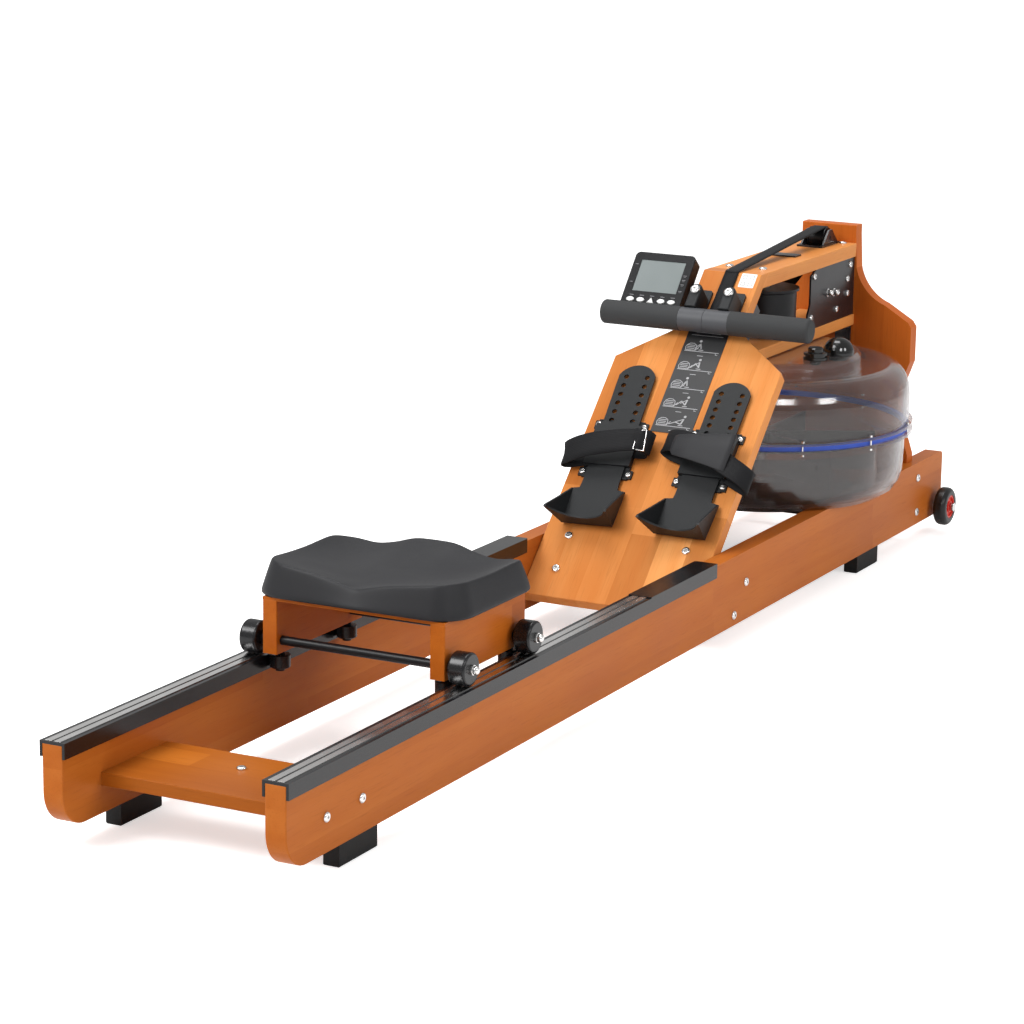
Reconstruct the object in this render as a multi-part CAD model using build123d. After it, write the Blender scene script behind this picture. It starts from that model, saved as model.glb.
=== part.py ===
from build123d import *
import math
import os

# Water-resistance rowing machine on a wooden frame. Millimetres, +Z up, +X forwards (seat towards tank),
# +Y to the rower's left. The origin is on the floor, under the middle of the frame.

# ---- driving dimensions: frame -------------------------------------------------------------------
RAIL_LENGTH = 2100.0
RAIL_GAP = 274.0                     # clear width between the rails
RAIL_THICK = 28.0
RAIL_BOTTOM = 29.0
RAIL_TOP = 133.0
RAIL_REAR_RADIUS = 45.0
RAIL_FRONT_RADIUS = 8.0
FOOT_SIZE = (88.0, 22.0, 29.0)
FOOT_X = (-883.0, 729.0)

COVER_WALL = 3.5                     # plastic channel over the rail
COVER_DEPTH = 19.5
COVER_LENGTH = 951.0
END_CAP_LENGTH = 220.0
END_CAP_THICK = 5.0
STRIP_THICK = 1.0                    # polished running strips on the channel
STRIP_WIDTH = 9.0
STRIP_OFFSET = 6.0

CROSSBAR_X = (-972.0, -828.0)
CROSSBAR_Z = (64.0, 81.0)

# ---- driving dimensions: footboard, neck and beams -------------------------------------------------
SLOPE_X = 177.6                      # the board's front face meets the rail tops here
SLOPE_DEG = 45.0
BOARD_THICK = 20.0
BOARD_HALF = 136.5
BOARD_LOW = -104.0                   # along the slope
BOARD_SHOULDER = 327.0
BOARD_NECK = 379.0
BOARD_TOP = 395.0
NECK_HALF = 67.0
FASCIA_HALF = 48.0
BEAM_TOP = 487.0
BEAM_THICK = 22.0
LOWER_BEAM_Z = (353.0, 371.0)
CROSSMEMBER_S = (6.0, -52.0)
CROSSMEMBER_THICK = 28.0
CROSSMEMBER_DEPTH = 62.0

PANEL_X = 934.0
PANEL_THICK = 25.0
PANEL_TOP = 516.0
PANEL_BOTTOM = 35.0
EDGE_R = 1.5                         # eased edges of the boards
BOLT_SOCKET = 4.6                    # across the socket's corners
SIDE_PLATE_Y = -46.0                 # outer face of the black side plate
SIDE_BOLTS = [(749, 455), (890, 433), (893, 409), (848, 389), (740, 390), (901, 455)]  # (x, z) on the side plate
SIDE_NUTS = [(832, 419), (806, 422)]

# ---- driving dimensions: tank and rotor ------------------------------------------------------------
TANK_X = 660.0
TANK_WALL = 4.0
FLANGE_R = 238.0
FLANGE_THICK = 5.0
BOWL_R = 226.0
BOWL_FOOT_R = 202.0
LID_R = 232.0
SHOULDER_Z = 286.0                   # the lid's wall starts to curve in here
CREST_R = 200.0
CREST_Z = 334.0
VALLEY_Z = 326.0
LID_WALL_R = 154.0
LID_TOP = 351.5
BOWL_FLANGE_TOP = 233.5
LID_FLANGE_BOTTOM = 241.0
WATER_LEVEL = 218.0
BASE_R = 150.0
BASE_Z = (120.0, 133.0)
CLAMP_COUNT = 12
CLAMP_START = 8.8                    # degrees
CLAMP_R = 235.0
CAP_PLACE = (663.0, -126.0, 16.0)    # x, y and hole radius
PLUG_PLACE = (603.0, -112.0, 9.0)
SHAFT_R = 8.0
SHAFT_FIT = 0.05                     # radial running clearance
DRUM_R = 50.0
DRUM_Z = (384.0, 448.0)
PADDLE_R = 182.0
PADDLE_COUNT = 6

# ---- driving dimensions: handle, belt and pulley -----------------------------------------------------
HANDLE_X = 437.0
HANDLE_Z = 425.6
HANDLE_HALF = 171.0
GRIP_R = 18.5
GRIP_INNER = 41.0
COLLAR_R = 18.0
BAR_R = 12.5
BELT_WIDTH = 24.0
BELT_THICK = 2.0
PULLEY_X = 878.0
PULLEY_Z = 499.0
PULLEY_R = 15.0

# ---- driving dimensions: console -------------------------------------------------------------------
CONSOLE_WIDTH = 101.0
CONSOLE_HEIGHT = 98.0
CONSOLE_THICK = 22.0
CONSOLE_FACE = (499.0, 110.5, 469.5)  # middle of the face
CONSOLE_TILT = 40.0                   # degrees back from upright
BUTTON_PITCH = 17.3
BUTTON_LOW = -37.0
CONSOLE_HINGE = -31.0                 # depth of the tilt pin behind the console's face

# ---- driving dimensions: seat ------------------------------------------------------------------------
SEAT_X = (-626.0, -392.0)
SEAT_Z = (217.0, 268.0)
SEAT_HALF = 150.0
CARRIAGE_X = (-620.0, -404.0)
CARRIAGE_Z = (143.0, 213.0)
CARRIAGE_OUTER = 131.0
CARRIAGE_THICK = 21.0
WHEEL_X = (-607.0, -433.0)
WHEEL_R = 21.5
WHEEL_Y = 150.0
WHEEL_WIDTH = 24.0
TRACK_GAP = 0.3                      # clearance under the wheels and beside the rollers
AXLE_R = 4.0
ROLLER_X = (-596.0, -428.0)
ROLLER_R = 13.5
ROLLER_Z = (120.0, 138.0)

# ---- driving dimensions: pedals and transport wheels ---------------------------------------------------
PEDAL_Y = 76.5
PEDAL_SCREW_S = (115.0, 200.0)
PEDAL_SCREW_Y = 37.0
PEDAL_FLOOR = 4.0
PEDAL_S = (106.0, 209.0)             # the guide's floor, along the board
BRIDGE_S = (126.0, 198.0)
BRIDGE_H = (7.8, 10.7)
SLIDER_H = (4.3, 7.3)
SLIDER_HALF = 29.5
SLIDER_TOP = {1: 309.0, -1: 296.0}     # by side: 1 is the left pedal
SLIDER_HEEL = 84.0
HOLE_PITCH = {1: 16.0, -1: 14.4}
HOLE_TOP = 22.0                      # from the slider's top to its first holes
HOLE_ROWS = 6
HOLE_R = 4.0
PEDAL_LEAN = {1: 2.4, -1: 0.0}         # degrees that each pedal is turned on the board
CUP_HEEL = 22.0                      # the heel cup, along the board
CUP_HALF = 41.0
CUP_FLARE = 10.0                     # outwards, over the wall's full height
CUP_TIP_H = 54.0
CUP_DIP_R = 48.75
CUP_DIP_H = 70.75
STRAP_WIDTH = 38.0
STRAP_S = 163.0
STRAP_REACH = {1: (-64.0, 68.0), -1: (-86.0, 72.0)}
PLATE_S = (199.0, 394.0)             # the instruction plate, along the board
PLATE_HALF = 33.0
PLATE_THICK = 1.0
TRANSPORT_X = 1018.0
TRANSPORT_Y = 184.0
TRANSPORT_Z = 46.5
TRANSPORT_R = 31.5
TRANSPORT_WIDTH = 22.0

# ---- worked out ----------------------------------------------------------------------------------------
RAIL_INNER = RAIL_GAP / 2
RAIL_OUTER = RAIL_INNER + RAIL_THICK
RAIL_MIDDLE = RAIL_INNER + RAIL_THICK / 2
TRACK_TOP = RAIL_TOP + COVER_WALL + STRIP_THICK
WHEEL_Z = TRACK_TOP + WHEEL_R + TRACK_GAP
ROLLER_Y = RAIL_INNER - COVER_WALL - ROLLER_R - TRACK_GAP
PANEL_FRONT = PANEL_X - PANEL_THICK / 2
SIN = math.sin(math.radians(SLOPE_DEG))
COS = math.cos(math.radians(SLOPE_DEG))
SLOPE = Plane(origin=(SLOPE_X, 0, RAIL_TOP), x_dir=(COS, 0, SIN), z_dir=(-SIN, 0, COS)).location
TILT = math.radians(CONSOLE_TILT)
CONSOLE = Plane(
    origin=CONSOLE_FACE, x_dir=(0, -1, 0), z_dir=(-math.cos(TILT), 0, math.sin(TILT))
).location
FASCIA_TOP_S = (BEAM_TOP - RAIL_TOP) / SIN
HANDLE_S = (HANDLE_X - SLOPE_X) * COS + (HANDLE_Z - RAIL_TOP) * SIN
LOW = (Align.CENTER, Align.CENTER, Align.MIN)


# ---- helpers ---------------------------------------------------------------------------------------------
def block(x0, x1, y0, y1, z0, z1):
    """An upright box between two corners."""
    size = Box(x1 - x0, y1 - y0, z1 - z0)
    return Pos((x0 + x1) / 2, (y0 + y1) / 2, (z0 + z1) / 2) * size


def rod(start, end, radius):
    """A round bar from one point to another."""
    along = Vector(*end) - Vector(*start)
    return Plane(origin=start, z_dir=along).location * Cylinder(radius, along.length, align=LOW)


def ring(start, end, outer, inner):
    """A tube from one point to another."""
    return rod(start, end, outer) - rod(start, end, inner)


def other_side(shape):
    """The same shape on the other side of the machine's middle plane."""
    return mirror(shape, about=Plane.XZ)


def slab(points, y0, y1):
    """A plate cut to an outline of (x, z) points, between two Y values."""
    outline = Polyline(*[(x, 0, z) for x, z in points], close=True)
    face = make_face(outline)
    return Pos(0, y0, 0) * extrude(face, y1 - y0, dir=(0, 1, 0))


def lathe(points, x, y):
    """A turned shape about an upright axis, from an outline of (radius, z) points."""
    outline = Polyline(*[(r, 0, z) for r, z in points], close=True)
    return Pos(x, y, 0) * revolve(make_face(outline), Axis.Z)


def dome_bolt(point, outwards, head_r=6.5, head_h=3.5, shank=45.0):
    """A dome-headed bolt: its head stands outwards from the point and its shank goes the other way."""
    direction = Vector(*outwards).normalized()
    head = Cylinder(head_r, head_h, align=LOW)
    head = fillet(head.edges().sort_by(Axis.Z)[-1:], head_h * 0.75)
    socket = extrude(RegularPolygon(BOLT_SOCKET / 2, 6), head_h)
    head -= Pos(0, 0, head_h * 0.45) * socket
    body = head + Pos(0, 0, -shank) * Cylinder(3.0, shank, align=LOW)
    return Plane(origin=point, z_dir=direction).location * body


def bolt_hole(point, outwards, depth=46.0):
    """The clearance hole that a bolt's shank goes into."""
    direction = Vector(*outwards).normalized()
    start = Vector(*point) + direction * 0.5
    return rod(tuple(start), tuple(Vector(*point) - direction * depth), 3.2)


def save(name, *shapes):
    """Write one named sub-part; each separate piece stays a separate solid."""
    solids = []
    for shape in shapes:
        solids.extend(shape.solids())
    export_step(Compound(solids), f"parts/{name}.step")


# ---- bolts: places shared by the boards and their fasteners -------------------------------------------------
def rail_bolts():
    """Every bolt through a rail, as a point on the right-hand rail's outer face."""
    places = [(-963, 73), (-882, 73), (934, 108), (934, 51)]
    for s in CROSSMEMBER_S:
        depth = BOARD_THICK + CROSSMEMBER_DEPTH * 0.82
        places.append((SLOPE_X + s * COS + depth * SIN, RAIL_TOP + s * SIN - depth * COS))
    return [(x, -RAIL_OUTER, z) for x, z in places]


def slope_point(s, y, h):
    """A point given along, across and off the footboard's face."""
    return (SLOPE_X + s * COS - h * SIN, y, RAIL_TOP + s * SIN + h * COS)


def on_pedal(side):
    """Where a pedal's guide stands on the board; it is laid out about the board's middle line."""
    turn = Rot(0, 0, PEDAL_LEAN[side])
    return SLOPE * Pos(PEDAL_SCREW_S[0], side * PEDAL_Y, 0) * turn * Pos(-PEDAL_SCREW_S[0], 0, 0)


SLOPE_OUT = (-SIN, 0, COS)
BOARD_BOLTS = [slope_point(s - 4, y, 0) for s in CROSSMEMBER_S for y in (-93, 96)]
BEAM_BOLTS = [(584, -28, BEAM_TOP), (584, 28, BEAM_TOP), (908, -30, BEAM_TOP), (908, 30, BEAM_TOP)]


# ---- frame ---------------------------------------------------------------------------------------------------
def rail():
    """The right-hand rail, rounded under its rear end."""
    half = RAIL_LENGTH / 2
    board = block(-half, half, -RAIL_OUTER, -RAIL_INNER, RAIL_BOTTOM, RAIL_TOP)
    across = board.edges().filter_by(Axis.Y)
    rear_low = across.group_by(Axis.X)[0].sort_by(Axis.Z)[0]
    board = fillet(rear_low, RAIL_REAR_RADIUS)
    front_high = board.edges().filter_by(Axis.Y).group_by(Axis.X)[-1].sort_by(Axis.Z)[-1]
    board = fillet(front_high, RAIL_FRONT_RADIUS)
    outer_low = board.edges().filter_by(Axis.X).group_by(Axis.Z)[0]
    board = fillet(outer_low, EDGE_R)
    for point in rail_bolts():
        board -= bolt_hole(point, (0, -1, 0))
    board -= bolt_hole((TRANSPORT_X, -RAIL_OUTER, TRANSPORT_Z), (0, -1, 0))
    return board


def channel(x0, x1, top):
    """An upside-down U that sits over the right-hand rail."""
    low = RAIL_TOP + COVER_WALL - COVER_DEPTH
    outer = block(x0, x1, -RAIL_OUTER - COVER_WALL, -RAIL_INNER + COVER_WALL, low, top)
    return outer - block(x0, x1, -RAIL_OUTER, -RAIL_INNER, low, RAIL_TOP)


def track_cover():
    """The plastic channel that the seat rolls along."""
    start = -RAIL_LENGTH / 2
    return channel(start, start + COVER_LENGTH, RAIL_TOP + COVER_WALL)


def running_strips():
    """Two polished strips on the right-hand channel."""
    start = -RAIL_LENGTH / 2 + 2
    strips = []
    for side in (-1, 1):
        y = -RAIL_MIDDLE + side * STRIP_OFFSET
        strips.append(block(start, start + COVER_LENGTH - 4, y - STRIP_WIDTH / 2, y + STRIP_WIDTH / 2,
                            RAIL_TOP + COVER_WALL, TRACK_TOP))
    return strips


def end_cap():
    """The closed plastic cap in front of the channel, chamfered at its inner front corner."""
    start = -RAIL_LENGTH / 2 + COVER_LENGTH
    cap = channel(start, start + END_CAP_LENGTH, RAIL_TOP + END_CAP_THICK)
    corner = cap.edges().filter_by(Axis.Z).group_by(Axis.X)[-1].sort_by(Axis.Y)[-1]
    return chamfer(corner, 3.0)


def feet():
    """Four rubber blocks under the rails."""
    length, width, height = FOOT_SIZE
    blocks = []
    for x in FOOT_X:
        for side in (-1, 1):
            y = side * RAIL_MIDDLE
            foot = block(x - length / 2, x + length / 2, y - width / 2, y + width / 2, 0, height)
            blocks.append(chamfer(foot.edges().group_by(Axis.Z)[0], 1.5))
    return blocks


def rear_crossbar():
    """The flat board that ties the rails together behind the seat."""
    bar = block(*CROSSBAR_X, -RAIL_INNER, RAIL_INNER, *CROSSBAR_Z)
    bar = fillet(bar.edges().filter_by(Axis.Y), EDGE_R)
    bar -= rod((-880, 0, 50), (-880, 0, 90), 3.2)
    for point in rail_bolts()[:2]:
        bar -= bolt_hole(point, (0, -1, 0))
        bar -= other_side(bolt_hole(point, (0, -1, 0)))
    return bar


def footboard():
    """The sloping board that carries both pedals, cut back to the neck at its top."""
    half = [
        (BOARD_LOW, BOARD_HALF),
        (BOARD_SHOULDER, BOARD_HALF),
        (BOARD_NECK, NECK_HALF),
        (BOARD_TOP, FASCIA_HALF),
    ]
    outline = half + [(s, -y) for s, y in reversed(half)]
    face = make_face(Polyline(*outline, close=True))
    board = extrude(face, -BOARD_THICK)
    rim = board.edges().group_by(Axis.Z)[-1].sort_by(Axis.X)[:-1]
    board = SLOPE * fillet(rim, EDGE_R)
    for point in BOARD_BOLTS:
        board -= bolt_hole(point, SLOPE_OUT)
    return board


def crossmembers():
    """Two boards on edge behind the footboard; the rails and the footboard bolt to them."""
    boards = []
    for s in CROSSMEMBER_S:
        board = SLOPE * block(s - CROSSMEMBER_THICK / 2, s + CROSSMEMBER_THICK / 2, -RAIL_INNER, RAIL_INNER,
                              -BOARD_THICK - CROSSMEMBER_DEPTH, -BOARD_THICK)
        for point in rail_bolts()[4:]:
            board -= bolt_hole(point, (0, -1, 0))
            board -= other_side(bolt_hole(point, (0, -1, 0)))
        for point in BOARD_BOLTS:
            board -= bolt_hole(point, SLOPE_OUT)
        boards.append(board)
    return boards


def fascia_board():
    """The narrow neck that carries on from the footboard to the upper beam."""
    length = FASCIA_TOP_S + BOARD_THICK + 10
    neck = block(BOARD_TOP, length, -FASCIA_HALF, FASCIA_HALF, -BOARD_THICK, 0)
    face_edges = neck.edges().filter_by(Axis.X).group_by(Axis.Z)[-1]
    neck = SLOPE * fillet(face_edges, EDGE_R)
    return neck - block(300, 900, -60, 60, BEAM_TOP, 700)


def beam_start(z):
    """Where the back of the footboard and neck stands, at a height."""
    return SLOPE_X + (z - RAIL_TOP) + BOARD_THICK / SIN


def upper_beam():
    """The top board from the neck to the front panel, slotted for the pulley and bored for the shaft."""
    low = BEAM_TOP - BEAM_THICK
    board = slab([(beam_start(BEAM_TOP), BEAM_TOP), (PANEL_FRONT, BEAM_TOP), (PANEL_FRONT, low),
                  (beam_start(low), low)], -FASCIA_HALF, FASCIA_HALF)
    board = fillet(board.edges().filter_by(Axis.X), EDGE_R)
    slot = [(PULLEY_X - 40, BEAM_TOP + 1), (PULLEY_X + 20, BEAM_TOP + 1), (PULLEY_X + 20, low - 1),
            (PULLEY_X - 60, low - 1)]
    board -= slab(slot, -BELT_WIDTH / 2 - 4, BELT_WIDTH / 2 + 4)
    board -= rod((TANK_X, 0, low - 5), (TANK_X, 0, low + 10), SHAFT_R + SHAFT_FIT)
    for point in BEAM_BOLTS:
        board -= bolt_hole(point, (0, 0, 1), 23)
    return board


def lower_beam():
    """The board over the tank."""
    low, high = LOWER_BEAM_Z
    board = slab([(beam_start(low), low), (beam_start(high), high), (PANEL_FRONT, high),
                  (PANEL_FRONT, low)], -FASCIA_HALF, FASCIA_HALF)
    board = fillet(board.edges().filter_by(Axis.X), EDGE_R)
    return board - rod((TANK_X, 0, low - 5), (TANK_X, 0, high + 5), SHAFT_R + 3)


def front_panel():
    """The upright board at the front, narrow at the beams and wide over the tank."""
    straight_low = [
        (RAIL_INNER - 0.3, PANEL_BOTTOM), (RAIL_INNER - 0.3, RAIL_TOP), (150, RAIL_TOP), (150, 146),
        (140, 176), (131, 214), (131, 245), (136, 267), (148, 300), (148, 356), (142, 365), (100, 390),
    ]
    edge = Polyline(*[(0, y, z) for y, z in straight_low])
    sweep_up = ThreePointArc((0, 100, 390), (0, 63, 418), (0, 50, 447))
    top = Polyline((0, 50, 447), (0, 47, 500), (0, 47, PANEL_TOP), (0, 0, PANEL_TOP))
    bottom = Line((0, 0, PANEL_BOTTOM), (0, straight_low[0][0], PANEL_BOTTOM))
    middle = Line((0, 0, PANEL_TOP), (0, 0, PANEL_BOTTOM))
    half = extrude(make_face([bottom, edge, sweep_up, top, middle]), PANEL_THICK, dir=(1, 0, 0))
    half = Pos(PANEL_FRONT, 0, 0) * half
    panel = half + other_side(half)
    panel = fillet(panel.edges().filter_by(Axis.Y).group_by(Axis.Z)[-1], EDGE_R)
    for point in rail_bolts()[2:4]:
        panel -= bolt_hole(point, (0, -1, 0))
        panel -= other_side(bolt_hole(point, (0, -1, 0)))
    return panel


def frame_bolts():
    """Dome-headed bolts of the wooden frame, the footboard, the beams and the pedals."""
    bolts = []
    for point in rail_bolts():
        right = dome_bolt(point, (0, -1, 0))
        bolts += [right, other_side(right)]
    for point in BOARD_BOLTS:
        bolts.append(dome_bolt(point, SLOPE_OUT))
    for point in BEAM_BOLTS:
        bolts.append(dome_bolt(point, (0, 0, 1), shank=BEAM_THICK))
    bolts.append(dome_bolt((-880, 0, CROSSBAR_Z[1]), (0, 0, 1), shank=24))
    nut = extrude(RegularPolygon(6.5, 6), 5) - Cylinder(3.1, 20)
    bolts.append(Pos(-880, 0, CROSSBAR_Z[0] - 5) * nut)
    for x, z in SIDE_BOLTS:
        bolts.append(dome_bolt((x, SIDE_PLATE_Y, z), (0, -1, 0), head_r=5.5, head_h=3.5, shank=2.9))
    for x, z in SIDE_NUTS:
        cap = rod((x, SIDE_PLATE_Y - 2, z), (x, SIDE_PLATE_Y - 11, z), 5)
        cap = fillet(cap.edges().sort_by(Axis.Y)[:1], 4)
        bolts.append(cap + rod((x, SIDE_PLATE_Y, z), (x, SIDE_PLATE_Y - 2, z), 6.5))
    for side in (-1, 1):
        for s in PEDAL_SCREW_S:
            for across in (-PEDAL_SCREW_Y, PEDAL_SCREW_Y):
                screw = dome_bolt((s, across, 3.0), (0, 0, 1), head_r=4.5, head_h=2.6, shank=2.9)
                bolts.append(on_pedal(side) * screw)
    return bolts


# ---- tank and rotor ---------------------------------------------------------------------------------------------
def tank_bowl():
    """The lower clear shell with its flange."""
    wall = TANK_WALL
    low = RAIL_TOP
    shelf = BOWL_FLANGE_TOP - FLANGE_THICK
    curve = [(BOWL_FOOT_R, low), (BOWL_R - 12, low + 9), (BOWL_R - 5, low + 21), (BOWL_R - 1, low + 36),
             (BOWL_R, low + 50)]
    outer = [(0, low), *curve, (BOWL_R, shelf), (FLANGE_R, shelf), (FLANGE_R, BOWL_FLANGE_TOP)]
    inner = [(BOWL_R - wall, BOWL_FLANGE_TOP), (BOWL_R - wall, low + 50)]
    inner += [(r - wall, z + 3) for r, z in reversed(curve[1:-1])]
    inner += [(BOWL_FOOT_R - 3, low + wall), (0, low + wall)]
    return lathe(outer + inner, TANK_X, 0)


def lid_profile(inset):
    """The upper shell's outline from its wall to the shaft hole, moved inwards by the wall's thickness."""
    body = LID_R - inset
    steps = 8
    outline = [(body, SHOULDER_Z)]
    for step in range(1, steps + 1):
        turn = math.radians(90 * step / steps)
        radius = CREST_R + (body - CREST_R) * math.cos(turn)
        outline.append((radius, SHOULDER_Z + (CREST_Z - inset - SHOULDER_Z) * math.sin(turn)))
    outline += [(CREST_R - 14, CREST_Z - 2 - inset), (CREST_R - 30, VALLEY_Z + 1.5 - inset),
                (LID_WALL_R + 3 - inset, VALLEY_Z - inset), (LID_WALL_R - inset, VALLEY_Z + 3),
                (LID_WALL_R - inset, LID_TOP - 7 - inset * 0.6), (LID_WALL_R - 6 - inset, LID_TOP - inset)]
    return outline


def tank_lid():
    """The upper clear shell: a domed ring with a raised flat lid in its middle."""
    hole = 24.0
    rise = LID_FLANGE_BOTTOM + FLANGE_THICK
    outer = [(FLANGE_R, LID_FLANGE_BOTTOM), (FLANGE_R, rise), (LID_R, rise)] + lid_profile(0)
    outer.append((hole, LID_TOP))
    inner = [(hole, LID_TOP - TANK_WALL)] + list(reversed(lid_profile(TANK_WALL)))
    inner.append((LID_R - TANK_WALL, LID_FLANGE_BOTTOM))
    lid = lathe(outer + inner, TANK_X, 0)
    for x, y, radius in (CAP_PLACE, PLUG_PLACE):
        lid -= rod((x, y, LID_TOP - 10), (x, y, LID_TOP + 10), radius)
    return lid


def seal_ring():
    """The rubber ring squeezed between the two flanges."""
    low = BOWL_FLANGE_TOP
    high = LID_FLANGE_BOTTOM
    outer = CLAMP_R - 3
    return lathe([(outer - 9, low), (outer, low), (outer, high), (outer - 9, high)], TANK_X, 0)


def clamp_screws():
    """Screws round the flange, each with a hexagon head and a nut."""
    low = BOWL_FLANGE_TOP
    high = LID_FLANGE_BOTTOM
    head = extrude(RegularPolygon(2.7, 6), 3)
    nut = Pos(0, 0, low - FLANGE_THICK - 3) * head
    screw = Pos(0, 0, high + FLANGE_THICK) * head + nut + Pos(0, 0, low) * Cylinder(1.4, high - low, align=LOW)
    screws = []
    for step in range(CLAMP_COUNT):
        turn = Rot(0, 0, CLAMP_START + 360 * step / CLAMP_COUNT)
        screws.append(Pos(TANK_X, 0, 0) * turn * Pos(CLAMP_R, 0, 0) * screw)
    return screws


def tank_base():
    """The round plate under the tank and the two steel straps that hang it from the rails."""
    low, high = BASE_Z
    plate = rod((TANK_X, 0, low), (TANK_X, 0, high), BASE_R)
    plate &= block(TANK_X - 200, TANK_X + 200, -RAIL_INNER + 0.5, RAIL_INNER - 0.5, low, high)
    straps = []
    for x in (TANK_X - 85, TANK_X + 85):
        strap = block(x - 18, x + 18, -RAIL_INNER, RAIL_INNER, low - 4, low)
        ears = block(x - 18, x + 18, -RAIL_INNER, -RAIL_INNER + 3, low - 26, low)
        straps.append(strap + ears + other_side(ears))
    return [plate, *straps]


def bearing_housing():
    """The collar in the lid that holds the shaft's lower bearing."""
    bore = SHAFT_R + SHAFT_FIT
    top = LOWER_BEAM_Z[0] - 0.3
    outline = [(bore, LID_TOP - 12), (23.7, LID_TOP - 12), (23.7, LID_TOP), (46, LID_TOP), (46, top), (bore, top)]
    return lathe(outline, TANK_X, 0)


def water():
    """The water that the paddle turns in, up to its level."""
    low = RAIL_TOP + TANK_WALL + 0.3
    radius = BOWL_R - TANK_WALL - 0.3
    outline = [(0, low), (BOWL_FOOT_R - 6, low), (radius - 12, low + 9), (radius - 6, low + 20),
               (radius - 1.5, low + 36), (radius, low + 48), (radius, WATER_LEVEL), (0, WATER_LEVEL)]
    body = lathe(outline, TANK_X, 0)
    return body - rod((TANK_X, 0, low + 8), (TANK_X, 0, 260), PADDLE_R + 3)


def rotor_shaft():
    """The upright shaft, from the paddle to its bearing in the upper beam."""
    return rod((TANK_X, 0, 150), (TANK_X, 0, BEAM_TOP - BEAM_THICK + 9), SHAFT_R)


def belt_drum():
    """The flanged drum that the belt winds on, with its recoil spool below."""
    low, high = DRUM_Z
    outline = [(SHAFT_R, low), (DRUM_R + 8, low), (DRUM_R + 8, low + 5), (DRUM_R, low + 7), (DRUM_R, high - 6),
               (DRUM_R + 4, high - 4), (DRUM_R + 4, high), (SHAFT_R, high)]
    return lathe(outline, TANK_X, 0)


def paddle():
    """A hub with flat blades set round it."""
    wheel = ring((TANK_X, 0, 152), (TANK_X, 0, 222), 24, SHAFT_R)
    blade = block(22, PADDLE_R, -2, 2, 156, 218)
    arm = block(22, PADDLE_R - 30, -5, 5, 183, 191)
    for step in range(PADDLE_COUNT):
        wheel += Pos(TANK_X, 0, 0) * Rot(0, 0, 360 * step / PADDLE_COUNT) * (blade + arm)
    return wheel


def stopper(place, head):
    """A rubber stopper for a hole in the lid; its head is an outline of (radius, height) points."""
    x, y, hole_r = place
    plug_r = hole_r - 0.4
    seat = LID_TOP + 0.3
    outline = [(0, LID_TOP - 8), (plug_r - 2, LID_TOP - 8), (plug_r, LID_TOP - 5), (plug_r, seat)]
    outline += [(radius, seat + height) for radius, height in head]
    return lathe(outline, x, y)


def filler_cap():
    """The tank's filler cap, a tall dome over a short skirt."""
    radius, height, skirt = 24.0, 27.0, 5.0
    head = [(radius, 0), (radius, skirt)]
    for step in range(1, 9):
        turn = math.radians(90 * step / 8)
        head.append((radius * math.cos(turn), skirt + (height - skirt) * math.sin(turn)))
    return stopper(CAP_PLACE, head)


def level_plug():
    """The small ribbed plug beside the filler cap."""
    head = [(19, 0), (19, 4), (16, 4.5), (16, 7), (18.5, 7.5), (18.5, 11), (15, 11.5), (12, 12), (12, 17),
            (10, 19), (0, 19)]
    return stopper(PLUG_PLACE, head)


# ---- head: brackets, pulley and belt --------------------------------------------------------------------------------
def head_brackets():
    """Black steel: the side plate between the beams, the plate behind the neck and the angle at the panel."""
    low = LOWER_BEAM_Z[1]
    high = BEAM_TOP - BEAM_THICK
    side = slab([(758, high), (PANEL_FRONT, high), (PANEL_FRONT, low), (728, low), (728, low + 24),
                 (738, low + 40), (738, high - 8)], SIDE_PLATE_Y, SIDE_PLATE_Y + 3)
    for x, z in SIDE_BOLTS:
        side -= bolt_hole((x, SIDE_PLATE_Y, z), (0, -1, 0), 4)
    side += block(758, PANEL_FRONT, -43, -26, high - 3, high)
    side += block(728, PANEL_FRONT, -43, -16, low, low + 3)
    neck = SLOPE * block(402, 466, -44, 44, -BOARD_THICK - 4, -BOARD_THICK)
    for y in (-44, 40):
        neck += SLOPE * block(402, 466, y, y + 4, -BOARD_THICK - 26, -BOARD_THICK - 3)
    under = LOWER_BEAM_Z[0]
    angle = block(PANEL_FRONT - 30, PANEL_FRONT, -44, -18, under - 3, under)
    angle += block(PANEL_FRONT - 4, PANEL_FRONT, -44, -18, under - 30, under)
    roller_posts = [rod((x, -43, z), (x, -22, z), 5) for x, z in ((800, 420), (832, 418))]
    return [side, neck, angle, *roller_posts]


def pulley_bracket():
    """The bracket on the upper beam, whose two ears hold the top pulley's pin."""
    base = block(PULLEY_X - 40, PULLEY_X + 34, -22, 22, BEAM_TOP, BEAM_TOP + 3)
    base -= block(PULLEY_X - 36, PULLEY_X + 20, -BELT_WIDTH / 2 - 3.5, BELT_WIDTH / 2 + 3.5, BEAM_TOP - 1,
                  BEAM_TOP + 5)
    ear = slab([(PULLEY_X - 30, BEAM_TOP + 3), (PULLEY_X + 30, BEAM_TOP + 3), (PULLEY_X + 6, PULLEY_Z + 13),
                (PULLEY_X - 6, PULLEY_Z + 13)], -20, -17)
    pin = rod((PULLEY_X, -21, PULLEY_Z), (PULLEY_X, 21, PULLEY_Z), 3.0)
    strap = block(722, 746, -24, 24, BEAM_TOP, BEAM_TOP + 2.5)
    return [base + ear + other_side(ear) + pin, strap]


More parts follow.
